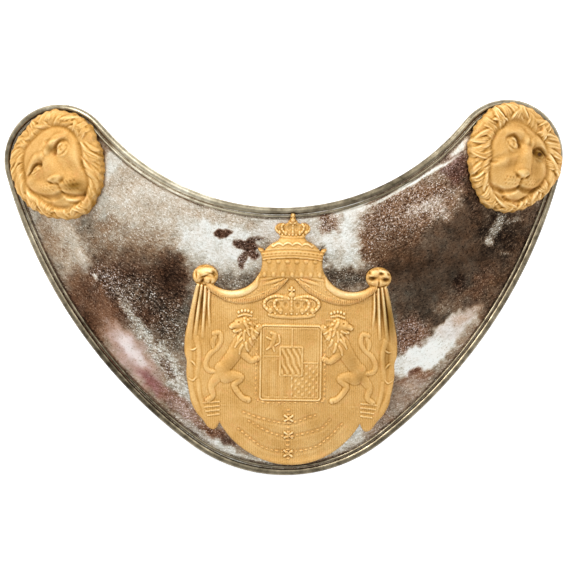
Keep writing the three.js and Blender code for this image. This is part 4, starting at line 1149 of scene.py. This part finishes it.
armsTarnishAndPaintedLight = [
    # dull olive places: tarnish, and painted shade on the drapes and in the knots' creases; painted highlights, partly
    # burnish, below them: x, y, half sizes, turn, strength
    (26.0, 39.6, 1.5, 6.5, 8, 0.95), (-24.1, 44.0, 0.5, 3.0, 8, 0.5), (25.9, 29.4, 1.4, 4.0, 0, 0.45),
    (21.3, 50.1, 0.9, 0.7, 0, 0.9), (24.8, 49.8, 0.9, 0.6, 0, 0.9), (23.8, 51.4, 0.6, 0.4, 0, 0.8),
    (-23.8, 48.7, 0.9, 0.4, 0, 0.7), (-20.6, 51.0, 0.6, 0.8, 0, 0.6), (16.4, 28.0, 1.6, 2.6, 20, 0.35),
    (18.6, 23.4, 1.6, 1.4, 0, 0.35), (22.8, 42.0, 0.4, 4.0, 3, 0.35), (9.0, 7.5, 6.0, 6.5, 0, 0.16),
    (-1.0, 6.0, 10.0, 6.5, 0, 0.09),
    (0.2, 58.2, 7.0, 1.7, 0, -0.13), (-18.6, 47.2, 2.2, 0.9, -32, -0.34), (-14.7, 45.9, 3.4, 0.9, 0, -0.34),
    (-10.4, 47.2, 2.4, 0.9, 32, -0.30), (18.6, 47.4, 2.2, 0.9, 32, -0.28), (14.7, 46.1, 3.4, 0.9, 0, -0.28),
    (10.4, 47.3, 2.4, 0.9, -32, -0.24), (-22.6, 51.8, 2.6, 0.8, 6, -0.3), (22.9, 52.2, 1.6, 0.5, 0, -0.25),
    (-22.2, 45.2, 0.8, 3.0, -8, -0.25),
]


def armsHatch(points, height):
    return (1 - step(height, 0.15, 0.5)) * (1 - 0.7 * step(np.abs(points[:, 0]), 22.5, 24.0))


coatOfArms, armsPoints = shellObject("coatOfArms", armsEdge, arms["pitch"], arms["backPitch"], armsFront,
                                     lambda p: np.zeros(len(p)), armsPlace, gilt)
# hollow paints dirt and shade into the relief's hollows and highlights on its edges; the spots add tarnish, painted
# shade and painted highlights
paintShell(coatOfArms, armsPoints, armsRelief, 0.35, 0.9, armsTarnishAndPaintedLight, armsHatch)
print("coat of arms built:", len(coatOfArms.data.polygons), "faces")


# What repeats on the arms: links, fringe and studs, set along paths by one tree

trim = {
    # mm: distance from piece to piece, then half length, half width and thickness of one
    "linkPitch": 1.35,
    "link": (0.60, 0.34, 0.46),
    "fringePitch": 0.52,
    "fringe": (0.98, 0.18, 0.30),
    "studPitch": 1.35,
    "stud": (0.34, 0.34, 0.32),
    "columnPitch": 1.25,
    "column": (0.72, 0.30, 0.40),
}


def trimTree():
    tree, entry = newTree("trimAlongPath", {
        "Spacing": "NodeSocketFloat", "Size": "NodeSocketVector", "Turn": "NodeSocketFloat", "Follow": "NodeSocketBool",
        "Vary": "NodeSocketFloat", "Seed": "NodeSocketInt", "Material": "NodeSocketMaterial"})
    path = addNode(tree, "GeometryNodeMeshToCurve", {}, {"Mesh": (entry, "Geometry")})
    points = addNode(tree, "GeometryNodeCurveToPoints", {"mode": "LENGTH"},
                     {"Curve": (path, 0), "Length": (entry, "Spacing")})
    upright = addNode(tree, "FunctionNodeAlignEulerToVector", {"axis": "X"}, {"Vector": (points, "Tangent")})
    level = addNode(tree, "ShaderNodeCombineXYZ")
    chosen = addNode(tree, "GeometryNodeSwitch", {"input_type": "VECTOR"},
                     {"Switch": (entry, "Follow"), "False": (level, 0), "True": (upright, 0)})
    spin = addNode(tree, "ShaderNodeCombineXYZ", {}, {"Z": (entry, "Turn")})
    turned = addNode(tree, "FunctionNodeRotateEuler", {"space": "LOCAL"},
                     {"Rotation": (chosen, 0), "Rotate By": (spin, 0)})
    grain = addNode(tree, "GeometryNodeMeshUVSphere", {"Segments": 8, "Rings": 5, "Radius": 1.0})
    least = addNode(tree, "ShaderNodeMath", {"operation": "SUBTRACT", 0: 1.0}, {1: (entry, "Vary")})
    random = addNode(tree, "FunctionNodeRandomValue", {"data_type": "FLOAT", 3: 1.0},
                     {2: (least, 0), "Seed": (entry, "Seed")})
    scale = addNode(tree, "ShaderNodeVectorMath", {"operation": "SCALE"}, {0: (entry, "Size"), "Scale": (random, 1)})
    placed = addNode(tree, "GeometryNodeInstanceOnPoints", {},
                     {"Points": (points, 0), "Instance": (grain, 0), "Rotation": (turned, 0), "Scale": (scale, 0)})
    endTree(tree, (placed, 0), entry)
    return tree


trimNodes = trimTree()


def alongArms(points, sink):
    # a path drawn on the arms in mm, laid on their surface and sunk by a little
    path = smoothPath(points, 12)
    return armsPlace(path, armsFront(path) - sink)


def trimPiece(name, paths, kind, turn=0.0, follow=True, vary=0.15, sink=0.05):
    obj = runTree(name, trimNodes, [alongArms(path, sink) for path in paths], False, {
        "Spacing": trim[kind + "Pitch"] * mm, "Size": tuple(v * mm for v in trim[kind]), "Turn": math.radians(turn),
        "Follow": follow, "Vary": vary, "Seed": 3, "Material": gilt})
    # the trim gets one tone a little lighter than flat ground, a painted highlight, and no olive or hatching
    for attribute, value in (("hollow", 0.62), ("olive", 0.0), ("hatch", 0.0)):
        addAttribute(obj, attribute, np.full(len(obj.data.vertices), value))
    finishPiece(obj, "gilt")


def mirrored(path):
    return [(-x, y) for x, y in path]


chainSide = [(9.1, 17.5), (9.2, 24.0), (9.0, 30.6)]
chainFoot = [(-8.6, 17.0), (-5.6, 16.4), (0.0, 16.6), (5.4, 16.4), (8.6, 17.0)]
fringeLine = [(x, y + 0.9) for x, y in curtainLine[1:]]
studLine = [tuple(q) for q in arcPoints(arms["shoulder"][:2], 10.35, 10.3, 226, 308, 9)]
swagStuds = [(1.6, 49.4), (3.4, 47.9), (5.6, 46.6), (7.6, 45.9)]

trimPiece("collarChains", chainArcs, "link", vary=0.35)
trimPiece("shieldChain", [chainSide, mirrored(chainSide), chainFoot], "link", vary=0.4, sink=0.08)
trimPiece("chainColumn", [[(-0.3, 14.6), (-0.3, 8.0), (-0.3, 1.6)]], "column", turn=90)
trimPiece("curtainFringe", [fringeLine, mirrored(fringeLine)], "fringe", turn=90, follow=False, vary=0.1, sink=0.06)
trimPiece("curtainStuds", [studLine, mirrored(studLine), swagStuds, mirrored(swagStuds)], "stud", vary=0.3, sink=0.06)
print("trim set along its paths")


# Lion masks

mask = {
    "wall": 0.9,
    "skull": 3.1,             # mm, how far the face swells
    "hollow": 2.0,            # depth of the back
    "pitch": 0.16,
    "backPitch": 1.4,
    "edgeSteps": 260,
}
masks = {
    # all places in mm from the mask's middle, as seen from the front; place: that middle off the horn's centre
    # edge and face: the mask's outline and where the mane begins, as radii
    # every 15 degrees from the right, anticlockwise
    # head: its middle, lean of the eyes' line and of the nose (degrees), size across, along and below the nose
    # worn: the share of the head's relief that is left
    # stains and painted shade: dark places in the eye sockets, at the mouth and on the shaded side of the muzzle, as
    # well as dirt: x, y, half sizes, turn, strength
    # stains: x, y, half sizes, turn, strength
    "left": {
        "place": (0.0, -1.2), "seed": 5, "locks": 40, "rise": 0.46,
        "edge": (12.5, 12.8, 12.9, 14.0, 14.5, 14.6, 14.9, 14.4, 13.3, 12.5, 12.5, 12.3, 12.2, 12.0, 12.4, 12.9, 13.6,
                 14.1, 14.6, 15.2, 15.5, 14.4, 13.6, 13.0),
        "face": (8.2, 8.1, 8.8, 9.6, 10.4, 11.0, 10.9, 10.2, 9.4, 9.2, 9.0, 8.7, 8.4, 8.4, 8.9, 9.4, 9.6, 10.4, 11.3,
                 12.0, 12.2, 11.7, 10.6, 9.3),
        "head": ((-0.3, -0.1), 41.0, 22.0, 0.92, 0.82, 1.38), "worn": 0.78,
        "own": {
            "brow crease": (-0.22, [(-1.4, 6.5, 0.8, 0.8), (0.4, 7.2, 0.8, 0.8), (2.2, 7.6, 0.7, 0.4)]),
            "lip": (0.35, [(3.8, -9.0, 0.6, 0.6), (6.0, -9.0, 0.8), (7.7, -8.6, 0.6, 0.5)]),
            "under the lip": (-0.3, [(4.4, -10.0, 0.7, 0.6), (6.4, -10.1, 0.8), (8.0, -9.4, 0.7, 0.5)]),
            "cheek edge": (-0.42, [(6.6, 5.4, 1.0, 0.5), (7.1, 3.0, 1.2), (7.6, 0.8, 1.3), (7.9, -0.8, 1.0, 0.5)]),
            "jaw": (-0.4, [(-6.4, -6.6, 1.0, 0.6), (-4.4, -7.9, 1.1), (-2.6, -8.7, 1.1), (-0.8, -9.8, 1.0, 0.6)]),
        },
        "stainsAndPaintedLight": [(0.0, 0.0, 16.0, 17.0, 0, 0.20), (5.8, -5.2, 2.7, 1.6, 0, 1.0), (7.6, -6.6, 1.4, 1.7, 20, 0.7),
                   (2.0, -8.3, 1.9, 1.8, 0, 0.6), (-0.4, 4.7, 1.2, 1.4, 20, 0.75), (-0.6, -0.6, 0.9, 2.0, 20, 0.25),
                   (0.1, 0.0, 0.5, 0.9, 0, 0.3), (1.0, -3.3, 1.3, 0.5, 33, 0.5), (-4.7, 0.4, 1.2, 0.5, 0, 0.35),
                   (7.6, 0.7, 0.6, 1.2, 0, 0.35), (-8.2, 6.8, 1.0, 0.8, 0, 0.3), (3.0, -10.9, 1.8, 0.9, 0, 0.35)],
    },
    "right": {
        "place": (0.9, -0.4), "seed": 11, "locks": 32, "rise": 0.64,
        "edge": (12.5, 12.6, 12.7, 12.9, 13.3, 14.0, 14.6, 14.8, 14.2, 13.6, 13.1, 12.6, 12.1, 12.4, 13.1, 14.0, 15.4,
                 15.2, 14.9, 14.0, 13.5, 12.8, 12.8, 12.9),
        "face": (8.0, 8.2, 8.4, 8.6, 8.6, 9.4, 10.1, 10.1, 9.4, 8.9, 8.3, 7.5, 7.2, 7.9, 8.9, 10.2, 11.5, 12.0, 11.8,
                 11.0, 10.0, 9.9, 9.4, 8.6),
        "head": ((1.7, 0.0), -25.0, -12.0, 0.80, 1.0, 1.0), "worn": 0.9,
        "own": {
            "cheek ridge": (0.35, [(1.0, 1.2, 1.6, 0.6), (-1.6, 0.2, 2.2), (-3.8, -0.7, 2.0), (-6.0, -1.6, 1.6, 0.5)]),
            "above it": (-0.22, [(-1.2, 1.7, 1.2, 0.6), (-3.6, 0.7, 1.3), (-6.0, -0.4, 1.2)]),
            "cheek line": (-0.3, [(6.8, -0.6, 0.9, 0.5), (7.4, -2.2, 1.0), (7.6, -4.0, 0.9, 0.5)]),
            "left crease": (-0.3, [(-7.6, -0.7, 0.6), (-6.4, -1.0, 0.7), (-5.6, -0.9, 0.5, 0.5)]),
            "jaw": (-0.45, [(-7.5, -6.9, 0.9, 0.6), (-6.2, -7.9, 1.0), (-4.4, -8.7, 1.0), (-3.5, -10.0, 1.0, 0.7)]),
            "chin edge": (-0.5, [(-3.4, -10.6, 0.9, 0.7), (-2.0, -11.8, 1.0), (0.2, -11.8, 1.0),
                                 (1.8, -10.9, 0.8, 0.5)]),
        },
        "stainsAndPaintedLight": [(0.0, 0.0, 16.0, 17.0, 0, 0.08), (5.5, 0.9, 1.6, 1.0, 5, 1.5), (5.4, -0.5, 1.2, 0.9, 0, 0.7),
                   (2.5, 3.6, 0.7, 0.7, 0, 0.6), (1.8, -4.0, 1.1, 0.6, -35, 0.6), (0.6, -8.2, 1.6, 1.3, 0, 0.45),
                   (5.3, -6.1, 0.8, 0.5, 20, 0.5), (-2.2, -5.2, 1.5, 0.8, 0, 0.35), (3.2, -3.0, 0.4, 1.8, 0, 0.4),
                   (-1.0, -10.6, 1.4, 0.8, 0, 0.2), (9.8, 6.6, 2.0, 1.6, 0, 0.25), (0.0, 12.0, 3.0, 1.2, 0, 0.22)],
    },
}


def outlineRadius(points, radii):
    # the chart's radius in the direction of each point
    turn = np.degrees(np.arctan2(points[:, 1], points[:, 0])) % 360
    return np.interp(turn, np.arange(0, 375, 15), list(radii) + [radii[0]])


def headFrame(points, middle, eyes, nose, wide, tall, jaw):
    # the eyes' line leans more than the mouth, so the frame twists from the brow down to the chin;
    # the height in the frame decides the lean, and is found by turns
    off = points - middle
    up = np.array([-math.sin(math.radians(nose)), math.cos(math.radians(nose))])
    v = off @ up
    for _ in range(4):
        lean = np.radians(eyes * np.clip((v / tall + 8.5) / 11.0, 0, 1.1))
        ax, ay = np.cos(lean), np.sin(lean)
        det = ax * up[1] - ay * up[0]
        u = (off[:, 0] * up[1] - off[:, 1] * up[0]) / det
        v = (ax * off[:, 1] - ay * off[:, 0]) / det
    v = v / tall
    return np.stack([u / wide, np.where(v < -4, (v + 4) / jaw - 4, v)], 1)


def lionHead(p):
    # a struck lion's head: both halves alike, eyes at (4.8, 2.1) mm
    side = halfSide(p)
    swell = (bump(p, 0, 7.6, 5.0, 3.0, 0.35) + bump(p, 0, 6.8, 0.9, 2.2, -0.14)
             + bump(side, 4.9, 2.5, 2.5, 1.6, -0.7) + bump(side, 2.6, 2.9, 1.0, 1.2, -0.5)
             + bump(side, 3.0, -6.3, 2.6, 2.0, 1.15) + bump(p, 0, -10.2, 2.7, 1.8, 0.75)
             + bump(side, 7.2, -1.4, 2.2, 3.2, 0.5) + bump(side, 4.6, -2.0, 1.5, 2.2, -0.42))
    bridge = ridge(p, [(0, 6.0, 2.3, 0.35), (0, 2.0, 2.5, 0.8), (0, -3.4, 3.3)], 1.4, 1.7)
    brow = ridge(side, [(1.2, 4.6, 1.7, 0.7), (3.8, 5.6, 1.9), (7.4, 4.4, 1.5, 0.4)], 0.85, 2.0)
    fold = ridge(side, [(2.7, 2.4, 0.8, 0.8), (3.8, 3.8, 0.85), (5.4, 4.1, 0.8), (7.2, 2.9, 0.7, 0.4)], -0.55, 1.6)
    eye = dome(side, 4.8, 2.1, 1.75, 0.85, 0.8, 6, 0.8) + bump(side, 4.7, 2.1, 0.4, 0.35, -0.3)
    lid = (ridge(side, [(3.2, 1.5, 0.6, 0.4), (4.9, 0.8, 0.7), (6.8, 1.8, 0.6, 0.4)], 0.32, 1.6)
           + ridge(side, [(3.0, 2.2, 0.5, 0.5), (4.7, 3.3, 0.6), (6.8, 2.6, 0.5, 0.5)], 0.42, 1.4))
    pad = dome(p, 0, -4.1, 2.3, 1.4, 0.6, power=1.1)
    nostril = bump(side, 1.5, -4.9, 0.95, 0.5, -0.75, 28) + bump(p, 0, -5.5, 0.5, 0.5, -0.3)
    parting = ridge(p, [(0, -5.4, 0.7, 0.6), (0, -7.8, 0.8)], -0.28, 1.6)
    mouth = ridge(side, [(0, -8.0, 0.9), (2.4, -8.9, 1.1), (5.2, -9.0, 1.1), (7.4, -8.0, 0.9, 0.3)], -0.75, 1.6)
    whiskers = sum(bump(side, 1.9 + 0.95 * i + 0.35 * (j % 2), -5.4 - 0.8 * j, 0.24, 0.24, -0.22)
                   for i in range(4) for j in range(3))
    return swell + bridge + brow + fold + eye + lid + pad + nostril + parting + mouth + whiskers


def maneLocks(seat):
    # two rows of locks, each of three fine strands that lean, curl and hook downwards at both sides
    rng = np.random.default_rng(seat["seed"])
    t = np.array([0.0, 0.3, 0.65, 1.0])
    wide = 2 * math.pi / seat["locks"]
    locks = []
    for row, (early, late) in enumerate(((0.24, 1.0), (-0.02, 0.72))):
        for k in range(seat["locks"]):
            start = wide * (k + 0.5 * row + rng.uniform(-0.42, 0.42))
            lean = -0.22 * math.cos(start) + rng.normal(0, 0.16)
            curl = rng.choice([-1, 1, 1]) * rng.uniform(0.04, 0.2)
            rise = seat["rise"] * rng.uniform(0.5, 1.25)
            reach = (early + rng.uniform(-0.1, 0.1), late - rng.uniform(0, 0.16))
            for strand in (-1, 0, 1):
                turn = start + lean * t + curl * t * (t - 0.4) + strand * wide * 0.33 * (1 - 0.6 * t)
                ray = np.stack([np.cos(turn), np.sin(turn)], 1)
                near, far = outlineRadius(ray, seat["face"]), outlineRadius(ray, seat["edge"])
                out = near + (far - near) * (reach[0] + (reach[1] - reach[0]) * t)
                radius = np.array([0.22, 0.38, 0.36, 0.16]) * rng.uniform(0.85, 1.2)
                fade = np.array([0.3, 1.0, 0.95, 0.5]) * rng.uniform(0.7, 1.1)
                locks.append((rise, np.column_stack([ray * out[:, None], radius, fade])))
    return locks


def buildMask(name, seat, x0, node):
    middle = np.array([x0, hornCentre[1]]) + seat["place"]
    turn = np.linspace(0, 2 * np.pi, mask["edgeSteps"], endpoint=False)
    ray = np.stack([np.cos(turn), np.sin(turn)], 1)
    ragged = 0.990 + 0.011 * np.cos(37 * turn + 2 * np.sin(3 * turn)) + 0.009 * np.cos(15 * turn + 1.0)
    outline = ray * (outlineRadius(ray, seat["edge"]) * ragged)[:, None]
    locks = maneLocks(seat)

    def relief(points):
        out = np.linalg.norm(points, axis=1)
        share = out / outlineRadius(points, seat["edge"])
        skull = mask["skull"] * np.clip(1 - (share / 0.99) ** 2, 0, 1) ** 0.8
        face = skull + seat["worn"] * lionHead(headFrame(points, *seat["head"]))
        face += sum(ridge(points, path, rise, 2.0) for rise, path in seat["own"].values())
        hair = np.zeros(len(points))
        for rise, path in locks:
            hair = np.maximum(hair, ridge(points, path, rise, 0.8, 3))
        past = out - outlineRadius(points, seat["face"])
        mane = skull * 0.95 + 0.55
        blend = step(past, -0.7, 0.9)
        return face * (1 - blend) + mane * blend + hair - 0.16 * np.exp(-((past + 0.5) / 0.55) ** 2)

    def place(points, height):
        x, y = (points + middle).T
        return onSheet(x, y, ornamentLift(x, y) + height)

    def front(points):
        rounding = step(edgeDistance(points, outline, 0.7), 0.0, 0.6)
        return mask["wall"] - 0.4 * (1 - rounding) + relief(points) * (0.3 + 0.7 * rounding)

    def back(points):
        share = np.linalg.norm(points, axis=1) / outlineRadius(points, seat["edge"])
        return mask["hollow"] * np.clip(1 - (share / 0.95) ** 2, 0, 1)

    obj, points = shellObject(name, outline, mask["pitch"], mask["backPitch"], front, back, place, gilt)
    # hollow paints dirt and shade into the face's hollows and highlights on its ridges; the stains add dirt and painted
    # shade
    paintShell(obj, points, relief, 0.6, 0.75, seat["stainsAndPaintedLight"], lambda p, height: np.zeros(len(p)))
    finishPiece(obj, "gilt", node)
    return obj


lionMasks = [buildMask("lionMaskLeft", masks["left"], -hornCentre[0], "lion_mask_left"),
             buildMask("lionMaskRight", masks["right"], hornCentre[0], "lion_mask_right")]
print("masks built:", sum(len(obj.data.polygons) for obj in lionMasks), "faces")


# Dirt and painted shade on the rim: dark on the roll's inner side, its underside and towards the foot, and dirt and
# painted light here and there along it

rimDirtAndPaintedLight = [
    # more dirt, or painted light: lighter at the upper left, which faces the lamps, darker on the lower left flank,
    # which faces away from them: strength, x, y, half sizes in mm
    (-0.30, -36, 26, 20, 15), (0.20, 30, 24, 24, 13), (0.22, -46, -14, 22, 20), (0.17, 60, 4, 15, 25),
]


def paintRim(obj, sides, depth, height, crease):
    co = np.empty(len(obj.data.vertices) * 3)
    obj.data.vertices.foreach_get("co", co)
    rings = co.reshape(-1, sides, 3) / mm
    middle = rings.mean(1, keepdims=True)
    off = rings - middle
    inward = -middle[..., :2] + np.array([0, 12.0])
    inward /= np.linalg.norm(inward, axis=-1, keepdims=True)
    radius = np.linalg.norm(off, axis=-1)
    facing = (off[..., :2] * inward).sum(-1) / radius
    top = off[..., 2] / radius
    x, y = rings[..., 0], rings[..., 1]
    patches = sum(strength * np.exp(-((x - cx) / wide) ** 2 - ((y - cy) / tall) ** 2)
                  for strength, cx, cy, wide, tall in rimDirtAndPaintedLight)
    # darker towards the foot
    patches += 0.14 * step(-y, 5.0, 35.0)
    # painted shade, with dirt: darker on each section's inner side (groove), on the bead's side towards the roll
    # (crease) and on the underside (height)
    groove = 0.9 * np.exp(-((facing - 0.86) / 0.16) ** 2) + crease * np.exp(-((facing + 0.95) / 0.2) ** 2)
    dirt = depth + patches + height * step(-top, -0.6, 0.4) + groove
    addAttribute(obj, "dirt", np.clip(dirt, 0, 1).ravel())


paintRim(roll, plate["rollSides"], 0.52, 0.4, 0.0)
paintRim(bead, plate["beadSides"], 0.46, 0.35, 0.5)
finishPiece(sheet, "silvered_sheet", "plate")
finishPiece(roll, "silvered_sheet")
finishPiece(bead, "silvered_sheet")
finishPiece(coatOfArms, "gilt", "coat_of_arms")
for name in ("collar_hook_left", "collar_hook_right", "arms_pin_upper", "arms_pin_lower"):
    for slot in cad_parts[name].material_slots:
        slot.material = backBrass


# Floor, light and camera

studio = {
    "floorColour": "#ffffff",
    "floorHalf": 1500,        # mm
    "floorGlow": 0.55,
    "skyColour": "#f4f6fa",
    "skyStrength": 0.9,
    "cameraHeight": 4.0,
    "cameraUp": 0.00102,      # metres from the middle towards the horns
    "photoSpan": 0.1532,      # metres across the photograph at the plate
    "sensor": 36,
    "roll": -0.6,
    # name, place, size and power
    "lamps": [("key", (-0.45, 0.55, 0.7), 0.35, 9.6), ("fill", (0.5, 0.3, 0.8), 0.6, 3.4)],
}


def buildStudio():
    floorMaterial, _, shader = newMaterial("paleCard")
    white = hexColour(studio["floorColour"])
    for socket, value in (("Base Color", white), ("Roughness", 0.9), ("Emission Color", white),
                          ("Emission Strength", studio["floorGlow"])):
        shader.inputs[socket].default_value = value
    corners = [(x * studio["floorHalf"], y * studio["floorHalf"], 0) for x, y in ((-1, -1), (1, -1), (1, 1), (-1, 1))]
    floor = makeObject("floor", corners, [np.array([[0, 1, 2, 3]])], floorMaterial)
    scene = bpy.context.scene
    world = bpy.data.worlds.new("studioWorld")
    scene.world = world
    world.use_nodes = True
    sky = world.node_tree.nodes["Background"]
    sky.inputs["Color"].default_value = hexColour(studio["skyColour"])
    sky.inputs["Strength"].default_value = studio["skyStrength"]
    for name, place, size, power in studio["lamps"]:
        lamp = bpy.data.lights.new(name, "AREA")
        lamp.energy = power
        lamp.size = size
        lampObject = bpy.data.objects.new(name, lamp)
        scene.collection.objects.link(lampObject)
        lampObject.location = place
        lampObject.rotation_euler = (-Vector(place)).to_track_quat("-Z", "Y").to_euler()
    camera = bpy.data.cameras.new("camera")
    camera.sensor_width = studio["sensor"]
    camera.lens = studio["sensor"] * studio["cameraHeight"] / studio["photoSpan"]
    cameraObject = bpy.data.objects.new("camera", camera)
    cameraObject.location = (0, studio["cameraUp"], studio["cameraHeight"])
    cameraObject.rotation_euler = (0, 0, math.radians(studio["roll"]))
    scene.collection.objects.link(cameraObject)
    scene.camera = cameraObject
    scene.view_settings.view_transform = "Standard"


buildStudio()
print("studio built")
